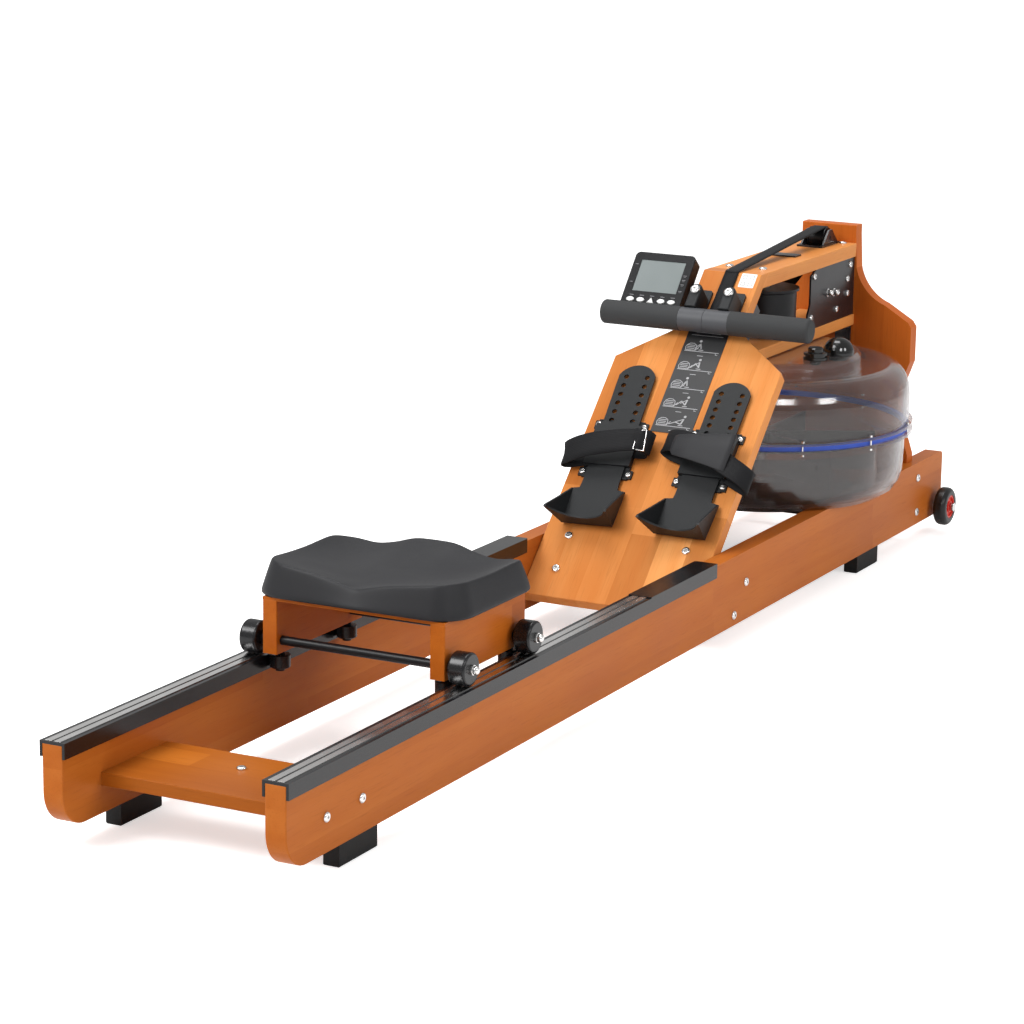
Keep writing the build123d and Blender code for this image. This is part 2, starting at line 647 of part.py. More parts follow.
def top_pulley():
    """The belt's pulley, running on its pin."""
    half = BELT_WIDTH / 2
    drum = ring((PULLEY_X, -half - 2, PULLEY_Z), (PULLEY_X, half + 2, PULLEY_Z), PULLEY_R, 3.05)
    for side in (-1, 1):
        flange = ring((PULLEY_X, side * half + side * 0.6, PULLEY_Z), (PULLEY_X, side * (half + 2.4), PULLEY_Z),
                      PULLEY_R + 1.5, 3.05)
        drum += flange
    return drum


def band(start, end, width, thick):
    """A flat straight length of belt."""
    along = Vector(*end) - Vector(*start)
    plane = Plane(origin=start, x_dir=(0, 1, 0), z_dir=along)
    return plane.location * Box(width, thick, along.length, align=LOW)


def belt_run():
    """The belt on the frame: over the beam to the top pulley, and back through the slot to the drum."""
    half = BELT_THICK / 2
    lip = slope_point(FASCIA_TOP_S, 0, 0)
    start = (lip[0] + 3.0, 0, BEAM_TOP + half + 0.4)
    crest = (PULLEY_X - 2, 0, PULLEY_Z + PULLEY_R + half + 0.4)
    over = band(start, crest, BELT_WIDTH - 1, BELT_THICK)
    clear = PULLEY_R + 0.4
    wrap = ring((PULLEY_X, -11.5, PULLEY_Z), (PULLEY_X, 11.5, PULLEY_Z), clear + BELT_THICK, clear)
    wrap -= block(PULLEY_X - 40, PULLEY_X, -20, 20, PULLEY_Z - 40, PULLEY_Z + 40)
    down = band((PULLEY_X, 0, PULLEY_Z - clear - half), (DRUM_R + TANK_X + 12, 0, 430), BELT_WIDTH - 1,
                BELT_THICK)
    return [over + wrap + down]


def belt_free():
    """The belt's free end at rest, from the neck's top edge down to the handle."""
    start = slope_point(FASCIA_TOP_S - 2, 0, 2.0)
    end = slope_point(HANDLE_S + COLLAR_R - 3, 0, 5.0)
    return band(start, end, BELT_WIDTH - 1, BELT_THICK)


# ---- handle -------------------------------------------------------------------------------------------------------------
def handle_bar():
    """The steel bar and, in its middle, the two halves of the belt clamp."""
    tube = ring((HANDLE_X, -HANDLE_HALF + 3, HANDLE_Z), (HANDLE_X, HANDLE_HALF - 3, HANDLE_Z), BAR_R, BAR_R - 2)
    clamps = []
    for side in (-1, 1):
        clamps.append(ring((HANDLE_X, side * 0.3, HANDLE_Z), (HANDLE_X, side * (GRIP_INNER - 0.3), HANDLE_Z),
                           COLLAR_R, BAR_R))
    slot = band(slope_point(HANDLE_S + 40, 0, 5.0), slope_point(HANDLE_S + COLLAR_R - 4, 0, 5.0), BELT_WIDTH, 3)
    return [tube, *[clamp - slot for clamp in clamps]]


def handle_grips():
    """Two foam sleeves, closed and rounded at their outer ends."""
    sleeve = rod((HANDLE_X, GRIP_INNER, HANDLE_Z), (HANDLE_X, HANDLE_HALF, HANDLE_Z), GRIP_R)
    sleeve = fillet(sleeve.edges().sort_by(Axis.Y)[-1:], 5)
    sleeve -= rod((HANDLE_X, GRIP_INNER, HANDLE_Z), (HANDLE_X, HANDLE_HALF - 3, HANDLE_Z), BAR_R)
    return [sleeve, other_side(sleeve)]


def handle_stops():
    """Two posts on the neck, hollowed to the handle's shape, that the belt pulls the handle against."""
    pieces = []
    for side in (-1, 1):
        y = side * 27.5
        post = block(404, 446, y - 9, y + 9, 3, 40)
        post = fillet(post.edges().filter_by(Axis.Z).group_by(Axis.X)[-1], 8)
        post = fillet(post.faces().sort_by(Axis.Z)[-1].edges(), 2.5)
        foot = fillet(block(412, 460, y - 10, y + 10, 0, 4).edges().filter_by(Axis.Z), 4)
        post = SLOPE * (post + foot)
        post -= rod((HANDLE_X, y - 30, HANDLE_Z), (HANDLE_X, y + 30, HANDLE_Z), COLLAR_R + 0.4)
        bolt = dome_bolt(slope_point(434, y, 40), SLOPE_OUT, head_r=7.5, head_h=5, shank=0.5)
        pieces += [post, bolt]
    return pieces


# ---- console --------------------------------------------------------------------------------------------------------------
def button_outline(index, gap=0.0):
    """The face of a push button, or its opening: the middle one is a triangle and the others are ovals."""
    x = (index - 2) * BUTTON_PITCH
    if index == 2:
        corners = [(-5.5 - gap * 2, -4 - gap), (5.5 + gap * 2, -4 - gap), (0, 5.5 + gap * 2)]
        return Pos(x, BUTTON_LOW - 0.5) * make_face(Polyline(*corners, close=True))
    return Pos(x, BUTTON_LOW) * Ellipse(6.3 + gap, 4.0 + gap)


def console_case():
    """The console's hollow casing, with a recessed window and five button openings."""
    shell = Pos(0, 0, -CONSOLE_THICK / 2) * Box(CONSOLE_WIDTH, CONSOLE_HEIGHT, CONSOLE_THICK)
    shell = fillet(shell.edges().filter_by(Axis.Z), 8)
    shell = fillet(shell.faces().sort_by(Axis.Z)[-1].edges(), 1.5)
    shell -= Pos(0, 0, -11) * Box(CONSOLE_WIDTH - 6, CONSOLE_HEIGHT - 6, CONSOLE_THICK - 6)
    shell -= Pos(0, 7, 0) * Box(74.6, 56.6, 12)
    for index in range(5):
        shell -= Pos(0, 0, -6) * extrude(button_outline(index, 0.4), 12)
    knuckle = Pos(0, 0, CONSOLE_HINGE) * Rot(0, 90, 0) * Cylinder(7, 22)
    knuckle += Pos(0, 0, -CONSOLE_THICK - 3) * Box(22, 10, 8)
    pin_hole = Pos(0, 0, CONSOLE_HINGE) * Rot(0, 90, 0) * Cylinder(3.05, 40)
    return CONSOLE * (shell + knuckle - pin_hole)


def console_screen():
    """The window over the display."""
    return CONSOLE * Pos(0, 7, -2.2) * Box(74.2, 56.2, 2.4)


def console_button(index):
    """One push button, standing a little proud of the console's face."""
    face = button_outline(index)
    cap = Pos(0, 0, -3.5) * extrude(face, 5.3)
    cap = fillet(cap.faces().sort_by(Axis.Z)[-1].edges(), 1.0)
    return CONSOLE * cap


def console_arm():
    """The black bracket from the neck's left edge to the console's pin."""
    hinge = (CONSOLE * Pos(0, 0, CONSOLE_HINGE)).position
    arms = []
    for side in (-1, 1):
        y = hinge.Y + side * 13.7
        lug = rod((hinge.X, y - 2, hinge.Z), (hinge.X, y + 2, hinge.Z), 8)
        lug += slab([(hinge.X - 5, hinge.Z - 6), (hinge.X + 6, hinge.Z - 5), (hinge.X + 16, hinge.Z - 34),
                     (hinge.X + 2, hinge.Z - 34)], y - 2, y + 2)
        arms.append(lug)
    tie = block(hinge.X + 2, hinge.X + 16, FASCIA_HALF, hinge.Y + 15.7, hinge.Z - 38, hinge.Z - 32)
    pad = block(hinge.X - 8, hinge.X + 20, FASCIA_HALF, FASCIA_HALF + 4, hinge.Z - 46, hinge.Z - 26)
    pin = rod((hinge.X, hinge.Y - 16, hinge.Z), (hinge.X, hinge.Y + 16, hinge.Z), 3.0)
    return arms[0] + arms[1] + tie + pad + pin


# ---- seat -----------------------------------------------------------------------------------------------------------------------
def seat_pad():
    """The moulded seat: a skirted slab, dished on top and cut away at the tail."""
    middle = (SEAT_X[0] + SEAT_X[1]) / 2
    pad = block(*SEAT_X, -SEAT_HALF, SEAT_HALF, *SEAT_Z)
    pad = fillet(pad.edges().filter_by(Axis.Z), 50)
    dish = Pos(middle - 10, 0, SEAT_Z[1] + 478) * Sphere(500)
    tail = rod((SEAT_X[0] - 10, 0, SEAT_Z[1] + 8), (SEAT_X[0] + 90, 0, SEAT_Z[1] + 12), 30)
    return pad - dish - tail


def carriage_plate():
    """The board under the pad that joins the two side boards."""
    return block(*CARRIAGE_X, -CARRIAGE_OUTER, CARRIAGE_OUTER, CARRIAGE_Z[1], SEAT_Z[0] - 0.2)


def carriage_side():
    """The right-hand side board of the carriage."""
    board = block(*CARRIAGE_X, -CARRIAGE_OUTER, -CARRIAGE_OUTER + CARRIAGE_THICK, *CARRIAGE_Z)
    board = fillet(board.edges().filter_by(Axis.Z), EDGE_R)
    for x in WHEEL_X:
        board -= rod((x, -200, WHEEL_Z), (x, 0, WHEEL_Z), AXLE_R)
    for x in ROLLER_X:
        board -= rod((x, -ROLLER_Y, 100), (x, -ROLLER_Y, CARRIAGE_Z[0] + 20), 3.0)
    return board


def seat_axles():
    """Two axles with black spacer tubes between the side boards, spacers, washers and dome nuts."""
    pieces = []
    inner = CARRIAGE_OUTER - CARRIAGE_THICK
    wheel_in = WHEEL_Y - WHEEL_WIDTH / 2
    wheel_out = WHEEL_Y + WHEEL_WIDTH / 2
    for x in WHEEL_X:
        axle = rod((x, -wheel_out - 5, WHEEL_Z), (x, wheel_out + 5, WHEEL_Z), AXLE_R)
        axle += rod((x, -inner, WHEEL_Z), (x, inner, WHEEL_Z), 6.0)
        for side in (-1, 1):
            axle += rod((x, side * CARRIAGE_OUTER, WHEEL_Z), (x, side * (wheel_in - 0.4), WHEEL_Z), 8)
            axle += rod((x, side * (wheel_out + 0.4), WHEEL_Z), (x, side * (wheel_out + 3), WHEEL_Z), 6.5)
        for side in (-1, 1):
            nut = rod((x, side * (wheel_out + 3), WHEEL_Z), (x, side * (wheel_out + 10), WHEEL_Z), 5.5)
            end = nut.edges().sort_by(Axis.Y)[-1 if side > 0 else 0]
            axle += fillet(end, 3.5)
        pieces.append(axle)
    for x in ROLLER_X:
        for side in (-1, 1):
            y = side * ROLLER_Y
            stud = rod((x, y, ROLLER_Z[0] - 3), (x, y, CARRIAGE_Z[0] + 20), 3.0)
            stud += rod((x, y, ROLLER_Z[0] - 4), (x, y, ROLLER_Z[0] - 0.4), 6)
            stud += rod((x, y, ROLLER_Z[1] + 0.4), (x, y, CARRIAGE_Z[0]), 6)
            pieces.append(stud)
    return pieces


def load_wheels(x):
    """The left and right wheels of one axle."""
    low = WHEEL_Y - WHEEL_WIDTH / 2
    high = WHEEL_Y + WHEEL_WIDTH / 2
    wheel = rod((x, low, WHEEL_Z), (x, high, WHEEL_Z), WHEEL_R)
    rims = wheel.edges().filter_by(GeomType.CIRCLE)
    wheel = fillet(rims, 3.5)
    wheel -= rod((x, low - 5, WHEEL_Z), (x, high + 5, WHEEL_Z), AXLE_R + 0.06)
    return [wheel, other_side(wheel)]


def guide_roller(x, side):
    """A small roller on an upright stud, running along the channel's inner flange."""
    y = side * ROLLER_Y
    roller = rod((x, y, ROLLER_Z[0]), (x, y, ROLLER_Z[1]), ROLLER_R)
    roller = chamfer(roller.edges().filter_by(GeomType.CIRCLE), 1.5)
    return roller - rod((x, y, ROLLER_Z[0] - 5), (x, y, ROLLER_Z[1] + 5), 3.06)


# ---- pedals --------------------------------------------------------------------------------------------------------------------------
def pedal_base(side):
    """A pedal's guide: a floor on the board, two ribs, a bridge over the slider and four screw ears."""
    half = PEDAL_SCREW_Y
    bridge_low, bridge_high = BRIDGE_H
    guide = block(*PEDAL_S, -half, half, 0, PEDAL_FLOOR)
    inner = SLIDER_HALF + 0.7
    for edge in (-1, 1):
        guide += block(*BRIDGE_S, *sorted((edge * inner, edge * half)), 0, bridge_high)
    guide += block(*BRIDGE_S, -half, half, bridge_low, bridge_high)
    for s in PEDAL_SCREW_S:
        for edge in (-half, half):
            guide += block(s - 7, s + 7, edge - 6, edge + 6, 0, 3)
            guide -= Pos(s, edge, 5) * Box(14, 12, 4)
            guide -= Pos(s, edge, 1) * Cylinder(3.1, 12)
    return on_pedal(side) * guide


def heel_slider(side):
    """A pedal's sliding plate: rounded top, two rows of holes and a heel cup at its foot."""
    low, high = SLIDER_H
    half = SLIDER_HALF
    top = SLIDER_TOP[side]
    shoulder = top - 19
    sides = Polyline((SLIDER_HEEL + 10, -half), (shoulder, -half))
    head = ThreePointArc((shoulder, -half), (top, 0), (shoulder, half))
    back = Polyline((shoulder, half), (SLIDER_HEEL + 10, half), (SLIDER_HEEL, half + 1), (SLIDER_HEEL - 2, 43),
                    (CUP_HEEL, CUP_HALF), (CUP_HEEL, -CUP_HALF), (SLIDER_HEEL - 2, -43), (SLIDER_HEEL, -half - 1),
                    (SLIDER_HEEL + 10, -half))
    plate = Pos(0, 0, low) * extrude(make_face([sides, head, back]), high - low)
    for row in range(HOLE_ROWS):
        for column in (-17, 17):
            plate -= Pos(top - HOLE_TOP - row * HOLE_PITCH[side], column, low) * Cylinder(HOLE_R, 20)
    return on_pedal(side) * (plate + heel_cup(low))


def heel_cup(low):
    """The cup's wall: flared, with a tip at each corner, dipping at the heel and falling to the plate's shoulders."""
    height = 60.0
    wall = 3.0
    front = SLIDER_HEEL + 20
    flared = CUP_HALF + CUP_FLARE
    foot = [(CUP_HEEL, -CUP_HALF), (front, -CUP_HALF - 3), (front, CUP_HALF + 3), (CUP_HEEL, CUP_HALF)]
    brim = [(CUP_HEEL - 9, -flared), (front, 1 - flared), (front, flared - 1), (CUP_HEEL - 9, flared)]
    outside = loft([make_face(Polyline(*foot, close=True)),
                    Pos(0, 0, height) * make_face(Polyline(*brim, close=True))])
    foot = [(s + wall, y - math.copysign(wall, y)) for s, y in foot]
    brim = [(s + wall, y - math.copysign(wall, y)) for s, y in brim]
    inside = loft([make_face(Polyline(*foot, close=True)),
                   Pos(0, 0, height) * make_face(Polyline(*brim, close=True))])
    cup = outside - inside
    above = [(SLIDER_HEEL - 2, 3), (CUP_HEEL - 4, CUP_TIP_H), (CUP_HEEL - 30, CUP_TIP_H + 4), (CUP_HEEL - 30, 90),
             (front + 10, 90), (front + 10, -1), (SLIDER_HEEL - 2, -1)]
    above = make_face(Polyline(*[(s, 0, h) for s, h in above], close=True))
    cup -= Pos(0, -60, 0) * extrude(above, 120, dir=(0, 1, 0))
    dip = rod((CUP_HEEL - 30, 0, CUP_DIP_H), (front, 0, CUP_DIP_H), CUP_DIP_R)
    return Pos(0, 0, low) * (cup - dip)


def foot_strap(side):
    """A webbing loop over one pedal, from one side of its guide to the other."""
    near, far = STRAP_REACH[side]
    thick = 2.8
    outer = [(38, 4), (far - 10, 5), (far, 12), (far - 2, 22), (42, 32), (14, 37), (-14, 37), (-42, 32),
             (near + 2, 22), (near, 12), (near + 10, 5), (-38, 4)]
    inner = [(38, 4 + thick), (far - 11, 5 + thick), (far - 3, 13), (far - 5, 20.4), (41, 32 - thick),
             (14, 37 - thick), (-14, 37 - thick), (-41, 32 - thick), (near + 5, 20.4), (near + 3, 13),
             (near + 11, 5 + thick), (-38, 4 + thick)]
    face = make_face(Polyline(*[(0, y, h) for y, h in outer + inner[::-1]], close=True))
    strap = extrude(face, STRAP_WIDTH, dir=(1, 0, 0))
    return on_pedal(side) * Pos(STRAP_S - STRAP_WIDTH / 2, 0, 0) * strap


def instruction_plate():
    """The thin plate down the middle of the footboard."""
    return SLOPE * block(*PLATE_S, -PLATE_HALF, PLATE_HALF, 0, PLATE_THICK)


# ---- transport wheels --------------------------------------------------------------------------------------------------------------------
def transport_wheel(side):
    """A tyre and its hub, which turn together."""
    low = TRANSPORT_Y - TRANSPORT_WIDTH / 2
    high = TRANSPORT_Y + TRANSPORT_WIDTH / 2
    start = (TRANSPORT_X, low, TRANSPORT_Z)
    end = (TRANSPORT_X, high, TRANSPORT_Z)
    tyre = rod(start, end, TRANSPORT_R)
    tyre = fillet(tyre.edges().filter_by(GeomType.CIRCLE), 8)
    tyre -= rod(start, end, 19)
    hub = ring((TRANSPORT_X, low + 2, TRANSPORT_Z), (TRANSPORT_X, high - 1, TRANSPORT_Z), 19, 4.06)
    hub -= ring((TRANSPORT_X, high - 4, TRANSPORT_Z), (TRANSPORT_X, high, TRANSPORT_Z), 16, 9)
    pieces = [tyre, hub]
    if side < 0:
        pieces = [other_side(piece) for piece in pieces]
    return pieces


def transport_axles():
    """The bolts that the transport wheels turn on, with spacers and nuts."""
    axles = []
    low = TRANSPORT_Y - TRANSPORT_WIDTH / 2
    high = TRANSPORT_Y + TRANSPORT_WIDTH / 2
    for side in (-1, 1):
        x = TRANSPORT_X
        z = TRANSPORT_Z
        axle = rod((x, side * RAIL_OUTER, z), (x, side * (high + 4), z), 4.0)
        axle += rod((x, side * RAIL_OUTER, z), (x, side * (low + 1.5), z), 8)
        axle += rod((x, side * (RAIL_OUTER - 25), z), (x, side * RAIL_OUTER, z), 3.0)
        axle += rod((x, side * (high - 0.6), z), (x, side * (high + 6), z), 7)
        axles.append(axle)
    return axles


# ---- write every sub-part ---------------------------------------------------------------------------------------------------------------------
def write_frame():
    """The wooden frame, its covers and fasteners."""
    right = rail()
    cover = track_cover()
    cap = end_cap()
    strips = running_strips()
    save("rail_right", right)
    save("rail_left", other_side(right))
    save("track_covers", cover, other_side(cover))
    save("steel_tracks", *strips, *[other_side(strip) for strip in strips])
    save("end_caps", cap, other_side(cap))
    save("rubber_feet", *feet())
    save("rear_crossbar", rear_crossbar())
    save("footboard", footboard())
    save("crossmembers", *crossmembers())
    save("fascia_board", fascia_board())
    save("upper_beam", upper_beam())
    save("lower_beam", lower_beam())
    save("front_panel", front_panel())
    save("frame_bolts", *frame_bolts(), *transport_axles())


def write_tank():
    """The water tank and everything that turns in it."""
    save("tank_bowl", tank_bowl())
    save("tank_lid", tank_lid())
    save("seal_ring", seal_ring())
    save("clamp_screws", *clamp_screws())
    save("tank_base", *tank_base())
    save("bearing_housing", bearing_housing())
    save("water", water())
    save("rotor_shaft", rotor_shaft())
    save("belt_drum", belt_drum())
    save("paddle", paddle())
    save("filler_cap", filler_cap())
    save("level_plug", level_plug())


def write_head():
    """Brackets, pulley, belt, handle and console."""
    save("head_brackets", *head_brackets())
    save("pulley_bracket", *pulley_bracket())
    save("top_pulley", top_pulley())
    save("belt_run", *belt_run())
    save("belt_free", belt_free())
    save("handle_bar", *handle_bar())
    save("handle_grips", *handle_grips())
    save("handle_stops", *handle_stops())
    save("console_case", console_case())
    save("console_screen", console_screen())
    save("console_arm", console_arm())
    for index in range(5):
        save(f"console_button_{index + 1}", console_button(index))


def write_seat():
    """The rolling seat."""
    side = carriage_side()
    save("seat_pad", seat_pad())
    save("carriage_plate", carriage_plate())
    save("carriage_side_right", side)
    save("carriage_side_left", other_side(side))
    save("seat_axles", *seat_axles())
    for name, x in zip(("rear", "front"), WHEEL_X):
        save(f"{name}_load_wheels", *load_wheels(x))
    for end, x in zip(("rear", "front"), ROLLER_X):
        save(f"guide_roller_{end}_left", guide_roller(x, 1))
        save(f"guide_roller_{end}_right", guide_roller(x, -1))


def write_pedals():
    """Pedals, instruction plate and transport wheels."""
    save("pedal_bases", pedal_base(1), pedal_base(-1))
    save("foot_straps", foot_strap(1), foot_strap(-1))
    save("instruction_plate", instruction_plate())
    for name, side in (("left", 1), ("right", -1)):
        save(f"heel_slider_{name}", heel_slider(side))
        save(f"transport_wheel_{name}", *transport_wheel(side))


os.makedirs("parts", exist_ok=True)
write_frame()
write_tank()
write_head()
write_seat()
write_pedals()
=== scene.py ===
"""Looks of a wooden water rowing machine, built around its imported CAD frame. Metres, +X forwards, +Z up."""
import math

import bpy
from mathutils import Matrix, Vector


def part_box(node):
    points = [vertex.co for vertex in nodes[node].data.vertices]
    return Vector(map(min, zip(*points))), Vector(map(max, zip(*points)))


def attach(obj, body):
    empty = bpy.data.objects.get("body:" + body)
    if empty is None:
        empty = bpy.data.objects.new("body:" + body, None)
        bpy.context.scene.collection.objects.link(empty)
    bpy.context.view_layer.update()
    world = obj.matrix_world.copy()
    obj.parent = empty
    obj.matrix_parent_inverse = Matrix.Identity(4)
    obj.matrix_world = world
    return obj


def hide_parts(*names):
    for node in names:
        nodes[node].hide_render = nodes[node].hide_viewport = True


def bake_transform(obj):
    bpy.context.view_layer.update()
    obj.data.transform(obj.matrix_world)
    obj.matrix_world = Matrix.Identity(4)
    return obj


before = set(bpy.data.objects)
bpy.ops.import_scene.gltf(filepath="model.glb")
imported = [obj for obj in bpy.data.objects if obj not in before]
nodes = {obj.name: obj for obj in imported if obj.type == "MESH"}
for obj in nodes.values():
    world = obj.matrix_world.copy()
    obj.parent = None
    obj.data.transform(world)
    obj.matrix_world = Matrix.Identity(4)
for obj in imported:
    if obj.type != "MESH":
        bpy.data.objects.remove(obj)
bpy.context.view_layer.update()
scene = bpy.context.scene

X = Vector((1, 0, 0))
Y = Vector((0, 1, 0))
Z = Vector((0, 0, 1))

# ---- places taken from the frame ---------------------------------------------------------------------------
UP_BOARD = Vector((1, 0, 1)).normalized()
OFF_BOARD = Vector((-1, 0, 1)).normalized()
PLATE_LOW_S = 0.199                    # the instruction plate's lower edge, along the board
PLATE_THICK = 0.001
plate_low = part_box("instruction_plate")[0]
PLATE_FOOT = Vector((plate_low.x + PLATE_THICK * OFF_BOARD.z, 0, plate_low.z))


def on_board(s, y, h):
    """A point along, across and off the footboard's face, in metres."""
    return PLATE_FOOT + UP_BOARD * (s - PLATE_LOW_S) + Y * y + OFF_BOARD * h


# ---- finishes ----------------------------------------------------------------------------------------------
class Finish:
    """A procedural material: a Principled shader, and short calls for the nodes that feed it."""

    def __init__(self, name, values):
        self.material = bpy.data.materials.new(name)
        self.material.use_nodes = True
        self.tree = self.material.node_tree
        self.shader = self.tree.nodes["Principled BSDF"]
        for key, value in values.items():
            self.shader.inputs[key].default_value = value

    def node(self, kind, links=(), **settings):
        made = self.tree.nodes.new(kind)
        for key, value in settings.items():
            setattr(made, key, value)
        for key, value in dict(links).items():
            if isinstance(value, bpy.types.NodeSocket):
                self.tree.links.new(value, made.inputs[key])
            else:
                made.inputs[key].default_value = value
        return made

    def place(self):
        return self.node("ShaderNodeTexCoord").outputs["Object"]

    def along(self, direction):
        return self.node("ShaderNodeVectorMath", {0: self.place(), 1: direction}, operation="DOT_PRODUCT").outputs[1]

    def maths(self, operation, a, b=0.0, c=0.0):
        return self.node("ShaderNodeMath", {0: a, 1: b, 2: c}, operation=operation).outputs[0]

    def vector(self, x, y, z):
        return self.node("ShaderNodeCombineXYZ", {0: x, 1: y, 2: z}).outputs[0]

    def noise(self, vector, scale, detail=3.0, rough=0.5):
        links = {"Vector": vector, "Scale": scale, "Detail": detail, "Roughness": rough}
        return self.node("ShaderNodeTexNoise", links).outputs[0]

    def random(self, vector):
        return self.node("ShaderNodeTexWhiteNoise", {"Vector": vector}).outputs[0]

    def ramp(self, value, stops):
        made = self.node("ShaderNodeValToRGB", {0: value})
        points = made.color_ramp.elements
        for point, (place, colour) in zip(points, (stops[0], stops[-1])):
            point.position = place
            point.color = grey(colour)
        for place, colour in stops[1:-1]:
            points.new(place).color = grey(colour)
        return made.outputs[0]

    def span(self, value, low, high, to_low=0.0, to_high=1.0):
        links = {0: value, 1: low, 2: high, 3: to_low, 4: to_high}
        return self.node("ShaderNodeMapRange", links).outputs[0]

    def mix(self, share, a, b, blend="MIX"):
        made = self.node("ShaderNodeMix", data_type="RGBA", blend_type=blend)
        for index, value in ((0, share), (6, a), (7, b)):
            if isinstance(value, bpy.types.NodeSocket):
                self.tree.links.new(value, made.inputs[index])
            else:
                made.inputs[index].default_value = value if index == 0 else grey(value)
        return made.outputs[2]

    def edges(self, radius):
        """How near a point is to a sharp edge, 0 on open surface."""
        rounded = self.node("ShaderNodeBevel", {"Radius": radius}, samples=4).outputs[0]
        flat = self.node("ShaderNodeNewGeometry").outputs["Normal"]
        match = self.node("ShaderNodeVectorMath", {0: rounded, 1: flat}, operation="DOT_PRODUCT").outputs[1]
        return self.span(match, 0.995, 0.80)

    def bump(self, height, distance, strength=1.0):
        links = {"Height": height, "Distance": distance, "Strength": strength}
        self.feed("Normal", self.node("ShaderNodeBump", links).outputs[0])

    def feed(self, key, socket):
        self.tree.links.new(socket, self.shader.inputs[key])
        return self


def grey(value):
    """An RGBA colour from one number or three."""
    if isinstance(value, (int, float)):
        return (value, value, value, 1)
    return (*value[:3], 1)


def wood(name, along, across, pale, deep, stave=0.055, block=0.38, seed=0.0, contrast=1.0):
    """Laminated hardwood under a satin lacquer: staves with their own tone, streaky grain and fine pores."""
    grain_across, pores_across = 26.0, 620.0           # noise scales across the wood, far finer than those along it
    f = Finish(name, {"Coat Weight": 0.02, "Coat Roughness": 0.14, "Specular IOR Level": 0.07})
    length = f.along(along)
    width = f.along(across)
    depth = f.along(along.cross(across))
    row = f.maths("FLOOR", f.maths("DIVIDE", width, stave))
    shift = f.random(f.vector(row, seed, 3.1))
    step = f.maths("FLOOR", f.maths("ADD", f.maths("DIVIDE", length, block), shift))
    tone = f.random(f.vector(row, step, seed + 7.3))
    drift = f.maths("MULTIPLY", tone, 9.0)
    grain_place = f.vector(f.maths("MULTIPLY", length, 1.8), f.maths("MULTIPLY_ADD", width, grain_across, drift),
                           f.maths("MULTIPLY_ADD", depth, grain_across, seed))
    grain = f.noise(grain_place, 1.0, 4.0, 0.55)
    pore_place = f.vector(f.maths("MULTIPLY", length, 28.0), f.maths("MULTIPLY", width, pores_across),
                          f.maths("MULTIPLY", depth, pores_across))
    pores = f.noise(pore_place, 1.0, 2.0, 0.5)
    cloud = f.noise(f.place(), 5.0, 2.0)
    figure = f.maths("ADD", f.maths("MULTIPLY", grain, 0.6), f.maths("MULTIPLY", cloud, 0.4))
    middle = [0.45 * a + 0.55 * b for a, b in zip(deep, pale)]
    colour = f.ramp(figure, [(0.30, deep), (0.55, middle), (0.72, pale)])
    dark = [1 - contrast * k for k in (0.20, 0.27, 0.34)]
    light = [1 + contrast * k for k in (0.10, 0.14, 0.22)]
    colour = f.mix(1.0, colour, f.ramp(tone, [(0.0, dark), (1.0, light)]), "MULTIPLY")
    dark_pores = f.span(pores, 0.56, 0.74, 0.0, 0.22)
    colour = f.mix(dark_pores, colour, [0.45 * v for v in deep])
    # edges painted paler: partly wear, partly a painted highlight standing in for light caught on rounded edges
    edge_wear_and_highlight = f.maths("MULTIPLY", f.edges(0.0016), 0.30)
    colour = f.mix(edge_wear_and_highlight, colour, [min(1.0, 1.25 * v + 0.03) for v in pale])
    f.feed("Base Color", colour)
    f.feed("Roughness", f.span(cloud, 0.3, 0.7, 0.30, 0.42))
    f.bump(f.maths("ADD", grain, f.maths("MULTIPLY", pores, 0.5)), 0.0002, 0.25)
    return f.material


def moulded(name, colour, roughness, pebble=900.0, depth=0.00006, gloss=0.5, wear=0.25):
    """Moulded plastic or foam skin with a fine pebbled grain, uneven gloss and paler rubbed edges."""
    f = Finish(name, {"Specular IOR Level": gloss})
    cloud = f.noise(f.place(), 14.0, 4.0, 0.6)
    fine = f.noise(f.place(), pebble, 2.0, 0.6)
    base = f.mix(cloud, [0.88 * v for v in colour], [1.14 * v for v in colour])
    base = f.mix(f.maths("MULTIPLY", f.edges(0.0008), wear), base, [min(1.0, 2.2 * v + 0.02) for v in colour])
    f.feed("Base Color", base)
    f.feed("Roughness", f.span(f.maths("ADD", cloud, fine), 0.6, 1.4, roughness - 0.05, roughness + 0.07))
    f.bump(fine, depth)
    return f.material


def metal(name, colour, roughness, brushed=None):
    """Bare or plated metal, with faint marks that run along a direction if one is given."""
    f = Finish(name, {"Metallic": 1.0})
    if brushed is None:
        place = f.place()
        marks = f.noise(place, 420.0, 3.0, 0.65)
    else:
        side = brushed.cross(Z) if abs(brushed.z) < 0.9 else X
        fine = 1500.0
        place = f.vector(f.maths("MULTIPLY", f.along(brushed), 14.0), f.maths("MULTIPLY", f.along(side), fine),
                         f.maths("MULTIPLY", f.along(brushed.cross(side)), fine))
        marks = f.noise(place, 1.0, 3.0, 0.6)
    cloud = f.noise(f.place(), 22.0, 3.0)
    f.feed("Base Color", f.mix(cloud, [0.86 * v for v in colour], colour))
    f.feed("Roughness", f.span(f.maths("ADD", marks, cloud), 0.7, 1.3, roughness, roughness + 0.12))
    f.bump(marks, 0.00002, 0.4)
    return f.material


